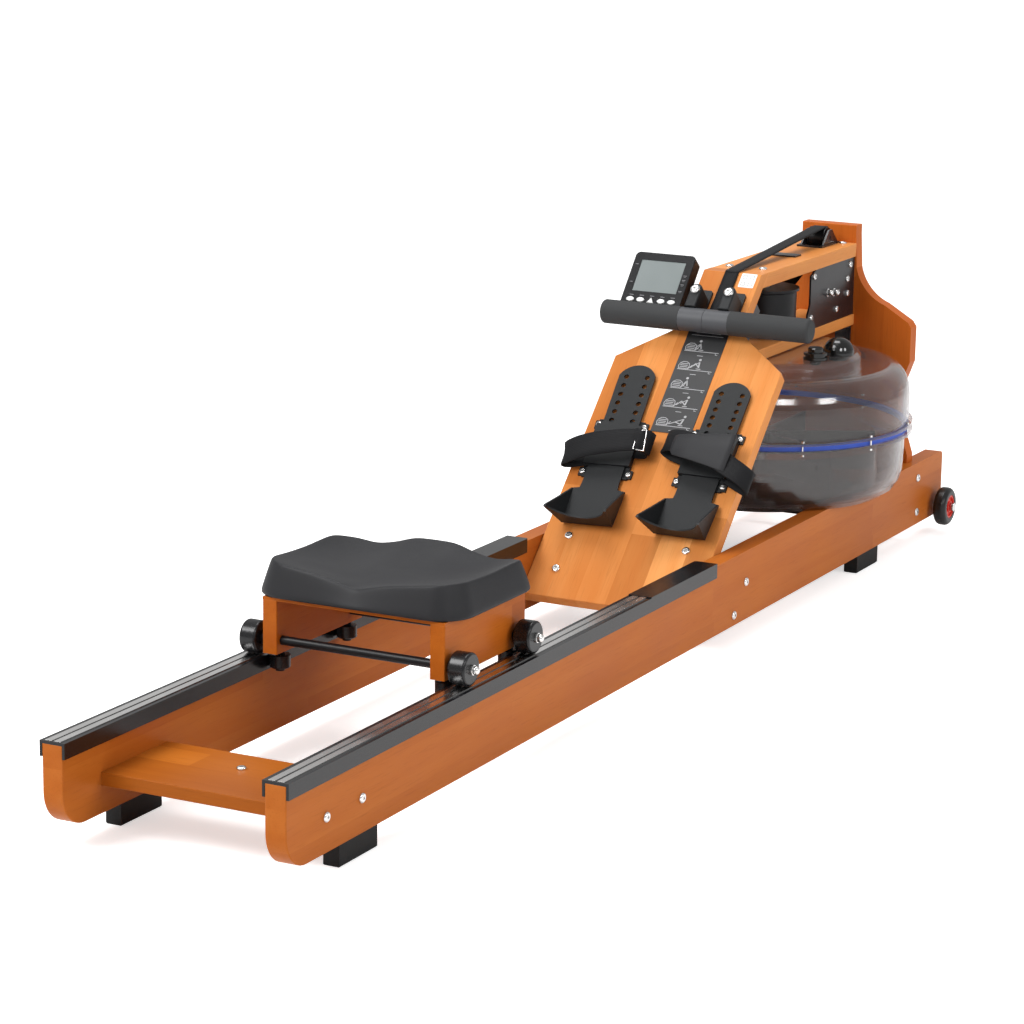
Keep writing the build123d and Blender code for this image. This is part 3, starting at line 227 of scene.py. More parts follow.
def webbing(name, colour):
    """Woven strap: ribs across, fine chevrons along, read from the strap's own length and width."""
    rib_step, chevron_step = 0.0026, 0.0019
    f = Finish(name, {"Roughness": 0.60, "Sheen Weight": 0.03, "Sheen Roughness": 0.45, "Specular IOR Level": 0.16})
    place = f.node("ShaderNodeUVMap", uv_map="strap").outputs[0]
    apart = f.node("ShaderNodeSeparateXYZ", {0: place})
    length, width = apart.outputs[0], apart.outputs[1]
    rib = f.maths("SINE", f.maths("MULTIPLY", width, 2 * math.pi / rib_step))
    zig = f.maths("PINGPONG", width, rib_step)
    chevron = f.maths("SINE", f.maths("MULTIPLY", f.maths("ADD", length, zig), 2 * math.pi / chevron_step))
    weave = f.maths("MULTIPLY_ADD", chevron, 0.5, rib)
    fuzz = f.noise(f.place(), 1600.0, 2.0)
    shade = f.span(f.maths("ADD", weave, fuzz), -1.2, 2.2)
    f.feed("Base Color", f.mix(shade, [0.75 * v for v in colour], [1.3 * v for v in colour]))
    f.bump(weave, 0.00010, 0.5)
    return f.material


def see_through(name, tint, edge, ior, haze, share, ripple):
    """A thin clear wall or water: see-through, mirror-like towards its edges, with a little haze in it."""
    f = Finish(name, {"Base Color": grey(haze), "Roughness": 0.25, "Specular IOR Level": 0.5})
    look = f.node("ShaderNodeLayerWeight", {"Blend": 0.5}).outputs["Facing"]
    through = f.ramp(look, [(0.0, tint), (0.6, tint), (1.0, edge)])
    clear = f.node("ShaderNodeBsdfTransparent", {"Color": through}).outputs[0]
    smears = f.noise(f.place(), 30.0, 3.0, 0.6)
    mirror = f.node("ShaderNodeBsdfGlossy", {"Color": grey(1.0), "Roughness": f.span(smears, 0.3, 0.7, 0.10, 0.16)})
    waves = f.node("ShaderNodeBump", {"Height": f.noise(f.place(), 8.0, 2.0), "Distance": ripple, "Strength": 0.5})
    f.tree.links.new(waves.outputs[0], mirror.inputs["Normal"])
    straight = ((ior - 1) / (ior + 1)) ** 2
    rim = f.maths("MULTIPLY_ADD", f.maths("POWER", look, 5.0), 1 - straight, straight)
    body = f.node("ShaderNodeMixShader", {0: f.span(look, 0.5, 1.0, share, 4 * share), 1: clear,
                                          2: f.shader.outputs[0]}).outputs[0]
    shown = f.node("ShaderNodeMixShader", {0: rim, 1: body, 2: mirror.outputs[0]}).outputs[0]
    f.tree.links.new(shown, f.tree.nodes["Material Output"].inputs[0])
    return f.material


def display(name):
    """The console's liquid-crystal window: grey-green, faintly graded, under a glossy lens."""
    f = Finish(name, {"Roughness": 0.30, "Coat Weight": 1.0, "Coat Roughness": 0.04})
    cells = f.noise(f.place(), 2600.0, 1.0)
    cloud = f.noise(f.place(), 18.0, 1.0)
    base = f.mix(cloud, (0.150, 0.178, 0.176), (0.200, 0.226, 0.226))
    f.feed("Base Color", f.mix(f.maths("MULTIPLY", cells, 0.12), base, (0.11, 0.13, 0.12)))
    return f.material


# the pale and the deep tone of each wood
BOARD_TONES = (0.76, 0.340, 0.105), (0.62, 0.205, 0.042)
RAIL_TONES = (0.51, 0.155, 0.026), (0.39, 0.095, 0.010)
PANEL_TONES = (0.54, 0.135, 0.020), (0.40, 0.080, 0.008)
CROSS_TONES = (0.45, 0.135, 0.016), (0.34, 0.088, 0.008)
SEAT_TONES = (0.46, 0.122, 0.012), (0.35, 0.075, 0.006)
RAIL_WOOD = wood("wood_rails", X, Z, *RAIL_TONES, stave=0.052, block=0.62, seed=1.0, contrast=0.6)
BOARD_WOOD = wood("wood_footboard", UP_BOARD, Y, *BOARD_TONES, stave=0.048, block=0.33, seed=4.0, contrast=1.4)
BEAM_WOOD = wood("wood_beams", X, Y, *BOARD_TONES, stave=0.050, block=0.50, seed=6.0)
PANEL_WOOD = wood("wood_panel", Z, Y, *PANEL_TONES, stave=0.050, block=0.45, seed=9.0, contrast=0.7)
CROSS_WOOD = wood("wood_crossbars", Y, X, *CROSS_TONES, stave=0.050, block=0.40, seed=12.0)
SEAT_WOOD = wood("wood_carriage", X, Z, *SEAT_TONES, stave=0.050, block=0.50, seed=15.0, contrast=0.7)
GLOSS_BLACK = moulded("gloss_black_plastic", (0.005, 0.005, 0.006), 0.20, pebble=300.0, depth=0.00002, gloss=0.35)
BLACK_PLASTIC = moulded("black_plastic", (0.006, 0.006, 0.007), 0.36, gloss=0.26)
PEDAL_PLASTIC = moulded("pedal_plastic", (0.012, 0.013, 0.014), 0.46, pebble=700.0, gloss=0.25)
RUBBER = moulded("rubber", (0.005, 0.005, 0.005), 0.62, pebble=500.0, depth=0.0001, gloss=0.35)
TYRE = moulded("tyre_rubber", (0.007, 0.007, 0.007), 0.30, pebble=400.0, depth=0.00004, gloss=0.4)
WHEEL = moulded("wheel_plastic", (0.007, 0.007, 0.008), 0.24, pebble=500.0, depth=0.00003, gloss=0.4)
FOAM = moulded("grip_foam", (0.034, 0.035, 0.036), 0.72, pebble=1500.0, depth=0.00025, gloss=0.3, wear=0.1)
CLAMP = moulded("clamp_plastic", (0.050, 0.052, 0.058), 0.52, pebble=900.0, depth=0.00004)
PAD = moulded("seat_skin", (0.015, 0.015, 0.0170), 0.50, pebble=1100.0, depth=0.00010, gloss=0.26, wear=0.15)
RED = moulded("red_hub", (0.62, 0.035, 0.020), 0.34, pebble=600.0, depth=0.00003, wear=0.1)
WHITE = moulded("white_buttons", (0.74, 0.75, 0.74), 0.36, pebble=700.0, depth=0.00003, wear=0.0)
PRINT = moulded("grey_white_print", (0.36, 0.36, 0.37), 0.55, pebble=900.0, depth=0.00002, wear=0.0)
INK = moulded("grey_print", (0.20, 0.20, 0.21), 0.60, pebble=900.0, depth=0.00002, wear=0.0)
PLATE = moulded("plate_black", (0.012, 0.012, 0.013), 0.42, pebble=1400.0, depth=0.00003)
BLUE = moulded("seal_blue", (0.018, 0.070, 0.46), 0.35, pebble=500.0, depth=0.00003, wear=0.0)
STEEL_BLACK = moulded("black_steel", (0.009, 0.009, 0.011), 0.30, pebble=650.0, depth=0.00005, wear=0.35)
CHROME = metal("chrome", (0.86, 0.85, 0.84), 0.14)
STRIPS = metal("polished_strips", (0.80, 0.79, 0.78), 0.16, brushed=X)
SHAFT = metal("shaft_steel", (0.62, 0.61, 0.60), 0.24, brushed=Z)
STRAP = webbing("webbing_black", (0.006, 0.006, 0.007))
FLAP_SKIN = moulded("strap_flap", (0.020, 0.020, 0.022), 0.55, pebble=900.0, gloss=0.25)
CLEAR = see_through("clear_plastic", (0.82, 0.795, 0.79), (0.82, 0.80, 0.80), 1.50, 0.40, 0.028, 0.0006)
WATER = see_through("water", (0.92, 0.92, 0.925), (0.88, 0.885, 0.89), 1.33, 0.25, 0.015, 0.0015)
CAP_BLACK = moulded("cap_black_plastic", (0.004, 0.004, 0.004), 0.14, pebble=300.0, depth=0.00001, wear=0.1)
SCREEN = display("display")

FINISHES = {
    RAIL_WOOD: ["rail_right", "rail_left"],
    BOARD_WOOD: ["footboard", "fascia_board"],
    BEAM_WOOD: ["upper_beam", "lower_beam"],
    PANEL_WOOD: ["front_panel"],
    CROSS_WOOD: ["rear_crossbar", "crossmembers"],
    SEAT_WOOD: ["carriage_side_right", "carriage_side_left", "carriage_plate"],
    GLOSS_BLACK: ["track_covers", "end_caps"],
    BLACK_PLASTIC: ["bearing_housing", "belt_drum", "paddle", "console_case", "top_pulley", "tank_base"],
    CAP_BLACK: ["filler_cap", "level_plug"],
    PEDAL_PLASTIC: ["pedal_bases", "heel_slider_left", "heel_slider_right", "handle_stops"],
    RUBBER: ["rubber_feet"],
    WHEEL: ["rear_load_wheels", "front_load_wheels", "guide_roller_rear_left", "guide_roller_rear_right",
            "guide_roller_front_left", "guide_roller_front_right"],
    FOAM: ["handle_grips"],
    CLAMP: ["handle_bar"],
    PLATE: ["instruction_plate"],
    BLUE: ["seal_ring"],
    STEEL_BLACK: ["head_brackets", "pulley_bracket", "console_arm"],
    CHROME: ["frame_bolts", "clamp_screws"],
    STRIPS: ["steel_tracks"],
    SHAFT: ["rotor_shaft"],
    CLEAR: ["tank_bowl", "tank_lid"],
    WATER: ["water"],
    SCREEN: ["console_screen"],
    WHITE: [f"console_button_{index}" for index in range(1, 6)],
}


def paint_nodes():
    """Give every CAD node its finish."""
    for material, names in FINISHES.items():
        for name in names:
            slots = nodes[name].data.materials
            slots.clear()
            slots.append(material)


def paint_part(name, materials, choose):
    """Give a CAD node several finishes, chosen face by face from each face's middle."""
    mesh = nodes[name].data
    mesh.materials.clear()
    for material in materials:
        mesh.materials.append(material)
    for face in mesh.polygons:
        face.material_index = int(choose(face.center))


# ---- shapes ------------------------------------------------------------------------------------------------
def piece(name, vertices, faces, material, body, slot, smooth=True):
    """A new mesh piece that rides on a CAD body."""
    mesh = bpy.data.meshes.new(name)
    mesh.from_pydata([tuple(v) for v in vertices], [], faces)
    mesh.validate()
    mesh.materials.append(material)
    mesh.polygons.foreach_set("use_smooth", [smooth] * len(mesh.polygons))
    mesh.update()
    obj = bpy.data.objects.new(name, mesh)
    scene.collection.objects.link(obj)
    if body:
        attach(obj, body)
    return obj


def skin(rings):
    """Vertices and faces that join rings of equal length, with a cap on the first and last."""
    count = len(rings[0])
    vertices = [point for ring in rings for point in ring]
    faces = []
    for level in range(len(rings) - 1):
        low = level * count
        for k in range(count):
            after = (k + 1) % count
            faces.append((low + k, low + after, low + count + after, low + count + k))
    faces.append(tuple(reversed(range(count))))
    faces.append(tuple(range(len(vertices) - count, len(vertices))))
    return vertices, faces


def catmull(values, t):
    """A smooth curve through evenly spaced values or points, t from 0 to 1."""
    spans = len(values) - 1
    span = min(int(t * spans), spans - 1)
    u = t * spans - span
    a = values[max(span - 1, 0)]
    b = values[span]
    c = values[span + 1]
    d = values[min(span + 2, spans)]
    return ((b * 2) + (c - a) * u + (a * 2 - b * 5 + c * 4 - d) * u * u
            + (b * 3 - a - c * 3 + d) * u * u * u) * 0.5


def ribbon(points, acrosses, width, thick, steps=8):
    """A flat strap with rounded edges through points, its width along the direction given at each one."""
    total = (len(points) - 1) * steps
    path = [catmull(points, k / total) for k in range(total + 1)]
    sides = [catmull(acrosses, k / total) for k in range(total + 1)]
    half = width / 2
    edge = thick / 2
    rim = edge * 0.6
    flat = half * 0.4
    outline = [(-half, 0), (-half + rim, edge), (-flat, edge), (flat, edge), (half - rim, edge),
               (half, 0), (half - rim, -edge), (flat, -edge), (-flat, -edge), (-half + rim, -edge)]
    rings = []
    run = [0.0]
    for k, point in enumerate(path):
        ahead = path[min(k + 1, total)] - path[max(k - 1, 0)]
        across = sides[k] - ahead * (sides[k].dot(ahead) / ahead.length_squared)
        across.normalize()
        normal = across.cross(ahead).normalized()
        rings.append([point + across * a + normal * b for a, b in outline])
        if k:
            run.append(run[-1] + (point - path[k - 1]).length)
    vertices, faces = skin(rings)
    marks = [(run[k], a) for k in range(total + 1) for a, b in outline]
    return vertices, faces, marks


def strap(name, points, acrosses, width, thick, body):
    """A webbing or belt piece, with its length and width kept for the weave."""
    vertices, faces, marks = ribbon(points, acrosses, width, thick)
    obj = piece(name, vertices, faces, STRAP, body, "webbing")
    layer = obj.data.uv_layers.new(name="strap")
    for loop in obj.data.loops:
        layer.data[loop.index].uv = marks[loop.vertex_index]
    return obj


def wire(name, points, radius, material, body):
    """A closed loop of round wire bent through points."""
    curve = bpy.data.curves.new(name, "CURVE")
    curve.dimensions = "3D"
    curve.bevel_depth = radius
    curve.bevel_resolution = 3
    spline = curve.splines.new("POLY")
    spline.points.add(len(points) - 1)
    for target, point in zip(spline.points, points):
        target.co = (*point, 1)
    spline.use_cyclic_u = True
    curve.materials.append(material)
    obj = bpy.data.objects.new(name, curve)
    scene.collection.objects.link(obj)
    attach(obj, body)
    return obj


def rounded_rectangle(half_x, half_y, radius, per_corner=8, per_side=1):
    """Points round a rectangle with rounded corners, anticlockwise, with its sides cut into equal steps."""
    points = []
    for index, (sx, sy) in enumerate(((1, 1), (-1, 1), (-1, -1), (1, -1))):
        middle_x, middle_y = sx * (half_x - radius), sy * (half_y - radius)
        for k in range(per_corner + 1):
            turn = math.radians(90 * index + 90 * k / per_corner)
            points.append((middle_x + radius * math.cos(turn), middle_y + radius * math.sin(turn)))
        last_x, last_y = points[-1]
        next_x, next_y = [(-last_x, last_y), (last_x, -last_y)][index % 2]
        for k in range(1, per_side):
            share = k / per_side
            points.append((last_x + (next_x - last_x) * share, last_y + (next_y - last_y) * share))
    return points


# ---- seat pad ----------------------------------------------------------------------------------------------
# heights of the moulded top above the floor, in millimetres: rows from the tail to the front, columns from the
# middle out
SEAT_TOP = [
    [242.0, 250.0, 255.5, 259.0, 263.0, 267.0],
    [240.0, 242.0, 247.0, 252.0, 257.0, 262.0],
    [245.0, 244.0, 243.0, 246.0, 252.5, 261.0],
    [254.0, 251.5, 245.0, 243.5, 251.0, 263.5],
    [264.0, 263.0, 254.0, 249.0, 253.5, 260.0],
]
# rings of the pad, in metres: inset, scale and rise over the base; share of the height and inset; drop under the top
# and inset; then the scales of the rings over the top
SEAT_SKIRT = ((0.010, 0.5, 0.0), (0.004, 1, 0.0), (0.0012, 1, 0.0006), (0.0, 1, 0.003))
SEAT_SIDE = ((0.33, 0.0035), (0.66, 0.0075), (0.88, 0.0105))
SEAT_RIM = ((0.0020, 0.0116), (0.0005, 0.0130), (0.0, 0.0150))
SEAT_SCALES = (0.955, 0.90, 0.83, 0.74, 0.64, 0.53, 0.41, 0.29, 0.17, 0.06)
SEAT_CORNER = 0.045
CORNER_STEPS = 8
SIDE_STEPS = 22
seat_low, seat_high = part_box("seat_pad")
SEAT_MIDDLE = (seat_low + seat_high) / 2
SEAT_HALF = (seat_high - seat_low) / 2


def seat_height(x, y):
    """The height of the moulded top over a point of the seat."""
    u = min(max((x - seat_low.x) / (2 * SEAT_HALF.x), 0), 1)
    v = min(abs(y) / SEAT_HALF.y, 1)
    column = [catmull(row, v) for row in SEAT_TOP]
    return catmull(column, u) / 1000


def seat_ring(inset, scale, height):
    """One ring of the pad: the outline moved inwards, shrunk about the middle, at a height or on the top."""
    corner = max(SEAT_CORNER - inset * 0.5, 0.01)
    ring = []
    for x, y in rounded_rectangle(SEAT_HALF.x - inset, SEAT_HALF.y - inset, corner, CORNER_STEPS, SIDE_STEPS):
        place = Vector((SEAT_MIDDLE.x + x * scale, y * scale, 0))
        place.z = height(place.x, place.y)
        ring.append(place)
    return ring


def make_seat_pad():
    """The moulded foam seat: flared skirt, rounded rim and a dished top with a tail groove and a nose."""
    low = seat_low.z
    rings = [seat_ring(inset, scale, lambda x, y, r=rise: low + r) for inset, scale, rise in SEAT_SKIRT]
    for share, inset in SEAT_SIDE:
        rings.append(seat_ring(inset, 1, lambda x, y, k=share: low + (seat_height(x, y) - low) * k))
    for drop, inset in SEAT_RIM:
        rings.append(seat_ring(inset, 1, lambda x, y, d=drop: seat_height(x, y) - d))
    for scale in SEAT_SCALES:
        rings.append(seat_ring(SEAT_RIM[-1][1], scale, seat_height))
    vertices, faces = skin(rings)
    pad = piece("seat_cushion", vertices, faces, PAD, "seat", "seat_foam")
    smooth = pad.modifiers.new("smooth", "SUBSURF")
    smooth.levels = 1
    smooth.render_levels = 1
    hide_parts("seat_pad")


# ---- belts and straps --------------------------------------------------------------------------------------
BELT_WIDTH = 0.023
BELT_THICK = 0.0018
BELT_ON_BEAM = ((0.0, 0.0021), (0.03, 0.0044), (0.12, 0.0112))   # how far along the beam, and how high over it
DRUM_RISE = 0.014                      # how far over the drum's middle the belt goes in


def make_belts():
    """The pull belt: over the beam and pulley to the drum, and its free end down to the handle."""
    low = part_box("belt_run")[0]
    free_low, free_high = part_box("belt_free")
    pulley_low, pulley_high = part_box("top_pulley")
    pulley = (pulley_low + pulley_high) / 2
    drum_low, drum_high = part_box("belt_drum")
    radius = (pulley_high.z - pulley.z) - 0.0005
    beam_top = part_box("upper_beam")[1].z
    points = [Vector((free_high.x - 0.0004, 0, free_high.z - 0.0006))]
    points += [Vector((low.x + along, 0, beam_top + rise)) for along, rise in BELT_ON_BEAM]
    points += [Vector((pulley.x - 0.115, 0, pulley.z + radius - 0.0082)),
               Vector((pulley.x - 0.004, 0, pulley.z + radius))]
    for turn in (60, 15, -30, -75):
        a = math.radians(turn)
        points.append(Vector((pulley.x + math.cos(a) * radius, 0, pulley.z + math.sin(a) * radius)))
    end = Vector((drum_high.x + 0.002, 0, (drum_low.z + drum_high.z) / 2 + DRUM_RISE))
    start = points[-1]
    points += [start.lerp(end, 0.35), start.lerp(end, 0.7), end]
    acrosses = [Y] * (len(points) - 2) + [(Y + Z * 0.35).normalized(), (Y + Z * 0.8).normalized()]
    run = strap("belt_over_beam", points, acrosses, BELT_WIDTH, BELT_THICK, "frame")
    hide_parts("belt_run")
    top = Vector((free_high.x, 0, free_high.z - 0.001))
    bottom = Vector((free_low.x + 0.001, 0, free_low.z + 0.001))
    middle = [top.lerp(bottom, k / 4) for k in range(5)]
    free = strap("belt_to_handle", middle, [Y] * 5, BELT_WIDTH, BELT_THICK, None)
    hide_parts("belt_free")
    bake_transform(free)


STRAP_WIDTH = 0.037
STRAP_THICK = 0.0024
BUCKLE_WIRE = 0.0012
FLAP_EDGE = 0.0008                     # how far in from the flap's edge its rounding reaches
FLAP_HALF = 0.0009                     # half the flap's thickness
FLAP_CROWN = 0.0012                    # how far the flap's middle bulges


def across_strap(lean):
    """The direction across a foot strap: up the board, leaned off it."""
    return (UP_BOARD + OFF_BOARD * lean).normalized()


# the right strap's wide flap: across the board, its two edges along the board, and its height, in metres
FLAP = [(-0.0270, 0.1480, 0.1750, 0.0340), (-0.0340, 0.1390, 0.1760, 0.0375), (-0.0600, 0.1335, 0.1790, 0.0395),
        (-0.0900, 0.1270, 0.1830, 0.0400), (-0.1150, 0.1215, 0.1855, 0.0390), (-0.1230, 0.1200, 0.1865, 0.0378)]


def make_foot_straps():
    """A webbing strap over each pedal: the left one closed by a wire buckle, the right one lapped over itself."""
    left = [on_board(0.142, 0.104, 0.0055), on_board(0.135, 0.130, 0.008), on_board(0.1295, 0.1440, 0.018),
            on_board(0.1355, 0.126, 0.029), on_board(0.1430, 0.098, 0.0355), on_board(0.1500, 0.070, 0.037),
            on_board(0.1565, 0.044, 0.0365), on_board(0.1610, 0.024, 0.031), on_board(0.1625, 0.0155, 0.018),
            on_board(0.1630, 0.022, 0.008), on_board(0.163, 0.040, 0.0055)]
    lean = [0.0, 0.0, 0.3, 0.3, 0.25, 0.2, 0.1, 0.0, 0.0, 0.0, 0.0]
    first = strap("foot_strap_left", left, [across_strap(v) for v in lean], STRAP_WIDTH, STRAP_THICK, "frame")
    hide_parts("foot_straps")
    tail = [on_board(0.1590, 0.032, 0.0375), on_board(0.1610, 0.024, 0.0345), on_board(0.1625, 0.0155, 0.0280),
            on_board(0.1630, 0.0115, 0.0180)]
    strap("foot_strap_left_tail", tail, [across_strap(0.0)] * 4, STRAP_WIDTH, STRAP_THICK, "frame")
    ring = [on_board(0.1430, 0.031, 0.0345), on_board(0.1765, 0.034, 0.0345), on_board(0.1750, 0.018, 0.0385),
            on_board(0.1400, 0.012, 0.0370)]
    wire("buckle_left", ring, BUCKLE_WIRE, CHROME, "frame")

    right = [on_board(0.160, -0.045, 0.0055), on_board(0.168, -0.018, 0.006), on_board(0.1725, -0.0060, 0.015),
             on_board(0.1710, -0.022, 0.027), on_board(0.1640, -0.052, 0.0345), on_board(0.1520, -0.088, 0.0365),
             on_board(0.1350, -0.122, 0.0345), on_board(0.1250, -0.146, 0.0290), on_board(0.1205, -0.1585, 0.0175),
             on_board(0.1230, -0.152, 0.0065), on_board(0.138, -0.120, 0.0055)]
    lean = [0.0, 0.0, 0.0, 0.05, 0.05, 0.0, -0.15, -0.15, -0.05, 0.0, 0.0]
    strap("foot_strap_right", right, [across_strap(v) for v in lean], STRAP_WIDTH, STRAP_THICK, "frame")
    rings = []
    for y, low, high, h in FLAP:
        middle = (low + high) / 2
        rings.append([on_board(s, y, h + rise) for s, rise in (
            (low, 0.0), (low + FLAP_EDGE, FLAP_HALF), (middle, FLAP_CROWN), (high - FLAP_EDGE, FLAP_HALF),
            (high, 0.0), (high - FLAP_EDGE, -FLAP_HALF), (middle, -FLAP_HALF), (low + FLAP_EDGE, -FLAP_HALF))])
    piece("foot_strap_right_flap", *skin(rings), FLAP_SKIN, "frame", "webbing")


# ---- printed figures and small trim ------------------------------------------------------------------------
class Drawing:
    """Thin flat marks on a surface, gathered into one mesh."""

    def __init__(self, origin, right, up, thick=0.00015):
        self.origin = origin
        self.right = right
        self.up = up
        self.out = right.cross(up).normalized() * thick
        self.vertices = []
        self.faces = []

    def fill(self, outline):
        """A filled shape, as a thin closed plate."""
        start = len(self.vertices)
        base = [self.origin + self.right * x + self.up * y for x, y in outline]
        count = len(base)
        self.vertices += [p + self.out * 0.2 for p in base] + [p + self.out for p in base]
        self.faces.append(tuple(start + count + k for k in range(count)))
        self.faces.append(tuple(start + k for k in reversed(range(count))))
        for k in range(count):
            after = (k + 1) % count
            self.faces.append((start + k, start + after, start + count + after, start + count + k))

    def disc(self, x, y, radius, sides=20):
        turns = [2 * math.pi * k / sides for k in range(sides)]
        self.fill([(x + radius * math.cos(t), y + radius * math.sin(t)) for t in turns])

    def line(self, a, b, width):
        """A stroke with square ends."""
        dx, dy = b[0] - a[0], b[1] - a[1]
        size = math.hypot(dx, dy)
        nx, ny = -dy / size * width / 2, dx / size * width / 2
        self.fill([(a[0] - nx, a[1] - ny), (b[0] - nx, b[1] - ny),
                   (b[0] + nx, b[1] + ny), (a[0] + nx, a[1] + ny)])

    def strokes(self, points, width):
        for a, b in zip(points, points[1:]):
            self.line(a, b, width)
        for x, y in points[1:-1]:
            self.disc(x, y, width / 2, 10)

    def make(self, name, material, body, slot):
        return piece(name, self.vertices, self.faces, material, body, slot, smooth=False)


# seat place, lean of the back in degrees and hand place of each stroke phase, in millimetres
STROKE = [(9, -14, (-1, 8)), (5, -8, (-2, 8)), (-2, 16, (-9, 6)), (4, 6, (-4, 8)), (-2, 20, (-11, 6))]
FIGURE_SCALE = 0.00118                 # metres to a unit of the figures
FIGURE_FLOOR = 0.0125                  # how far below a figure's middle its floor line is
FIGURE_FIRST = 0.0225
FIGURE_STEP = 0.0345
BACK = 8.5
LEG = 8.6


def rower(art, middle, seat, lean, hands):
    """A generic figure on a generic machine, facing left, over a short plain bar."""
    floor = middle - FIGURE_FLOOR

    def at(x, y):
        return (x * FIGURE_SCALE, floor + y * FIGURE_SCALE)

    art.strokes([at(-24, 1.5), at(24, 1.5)], 0.0010)
    art.strokes([at(20, 1.5), at(20, -1.5), at(23, -1.5)], 0.0008)
    art.strokes([at(-23, 3), at(-10.5, 3), at(-9, 7), at(-10, 11), at(-14, 13.5), at(-19, 13.5), at(-22.5, 11),
                 at(-24, 7), at(-23, 3)], 0.0010)
    for y in (5.5, 8.0, 10.5):
        art.line(at(-22, y), at(-11.5, y), 0.0011)
    art.strokes([at(-10, 2.5), at(-5.5, 9)], 0.0010)
    hip = (seat, 6.0)
    art.line(at(seat - 3, 4.0), at(seat + 3.5, 4.0), 0.0012)
    slant = math.radians(lean)
    shoulder = (hip[0] - BACK * math.sin(slant), hip[1] + BACK * math.cos(slant))
    foot = (-7.0, 5.0)
    reach = math.dist(hip, foot) / 2
    rise = math.sqrt(max(LEG ** 2 - reach ** 2, 0.2))
    knee = ((hip[0] + foot[0]) / 2, (hip[1] + foot[1]) / 2 + rise)
    art.strokes([at(*foot), at(*knee), at(*hip)], 0.0015)
    art.strokes([at(*hip), at(*shoulder)], 0.0023)
    art.strokes([at(*shoulder), at(*hands)], 0.0012)
    art.disc(*at(shoulder[0] - 2.6 * math.sin(slant), shoulder[1] + 3.6), 0.0021)
    art.line(at(-4, -5), at(4, -5), 0.0009)


def make_instruction_figures():
    """Five figures up the black plate, one for each phase of the stroke, with plain bars for a heading."""
    origin = on_board(PLATE_LOW_S, 0, PLATE_THICK)
    art = Drawing(origin, -Y, UP_BOARD)
    for index, (seat, lean, hands) in enumerate(STROKE):
        rower(art, FIGURE_FIRST + index * FIGURE_STEP, seat, lean, hands)
    art.line((-0.020, 0.1850), (0.020, 0.1850), 0.0014)
    art.line((-0.026, 0.1795), (0.026, 0.1795), 0.0008)
    art.make("instruction_figures", PRINT, "frame", "button_white")


LABEL_THICK = 0.0002


def make_label():
    """A plain white sticker on the neck, with four small squares on it."""
    origin = on_board(0.4875, -0.0295, 0.0)
    art = Drawing(origin, -Y, UP_BOARD, LABEL_THICK)
    art.fill(rounded_rectangle(0.0125, 0.0130, 0.0015, 3))
    art.make("neck_label", WHITE, "frame", "button_white")
    ink = Drawing(origin + OFF_BOARD * LABEL_THICK, -Y, UP_BOARD, 0.00008)
    half = 0.003
    for x in (-0.006, 0.006):
        for y in (-0.0065, 0.0065):
            ink.strokes([(x - half, y - half), (x + half, y - half), (x + half, y + half),
                         (x - half, y + half), (x - half, y - half)], 0.0007)
    ink.make("neck_label_marks", INK, "frame", "plate_black")


CONSOLE_LEAN = 40                      # how far the console's face leans back, in degrees
BUTTON_COUNT = 5
BUTTON_STEP = 0.0173


def make_console_marks():
    """Small plain marks beside the console's window and over its buttons."""
    lean = math.radians(CONSOLE_LEAN)
    up = Vector((math.sin(lean), 0, math.cos(lean)))
    out = Vector((-math.cos(lean), 0, math.sin(lean)))
    window_low, window_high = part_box("console_screen")
    middle = (window_low + window_high) / 2 - up * 0.007 + out * 0.0022
    art = Drawing(middle + out * 0.00002, -Y, up, 0.00012)
    half, low, high = 0.0035, -0.0293, -0.0283
    for index in range(BUTTON_COUNT):
        x = (index - 2) * BUTTON_STEP
        art.fill([(x - half, low), (x + half, low), (x + half, high), (x - half, high)])
    for y in (0.012, 0.004, -0.004, -0.016):
        art.line((0.0400, y), (0.0455, y), 0.0009)
        art.line((0.0410, y - 0.0022), (0.0445, y - 0.0022), 0.0006)
    for y in (0.026, -0.006):
        art.line((-0.0455, y), (-0.0405, y), 0.0009)
    art.make("console_marks", INK, "console", "button_white")


# ---- stage -------------------------------------------------------------------------------------------------
CAMERA_TURNS = 0.476, 0.2287, 0.0148   # yaw, pitch down and roll, in radians
CAMERA_PLACE = -4.04138, -1.98482, 1.26403
CAMERA_LENS = 115.6
FLOOR_REACH = 60.0
FLOOR_GLOW = 0.58
ROOM_LIGHT = 0.55


def add_camera():
    """The camera, above and to the right of the rower's end of the machine."""
    yaw, pitch, roll = CAMERA_TURNS
    ahead = Vector((math.cos(yaw) * math.cos(pitch), math.sin(yaw) * math.cos(pitch), -math.sin(pitch)))
    right = Vector((math.sin(yaw), -math.cos(yaw), 0))
    up = right.cross(ahead)
    side = right * math.cos(roll) + up * math.sin(roll)
    top = up * math.cos(roll) - right * math.sin(roll)
    data = bpy.data.cameras.new("camera")
    data.sensor_width = 36
    data.lens = CAMERA_LENS
    data.clip_end = 200
    camera = bpy.data.objects.new("camera", data)
    turn = Matrix((side, top, -ahead)).transposed()
    camera.matrix_world = Matrix.Translation(CAMERA_PLACE) @ turn.to_4x4()
    scene.collection.objects.link(camera)
    scene.camera = camera


def add_lamp(name, place, target, size, power):
    """A soft rectangular lamp that points at a target."""
    data = bpy.data.lights.new(name, "AREA")
    data.shape = "RECTANGLE"
    data.size, data.size_y = size
    data.energy = power
    lamp = bpy.data.objects.new(name, data)
    lamp.location = place
    lamp.rotation_euler = (Vector(target) - Vector(place)).to_track_quat("-Z", "Y").to_euler()
    scene.collection.objects.link(lamp)
    return lamp


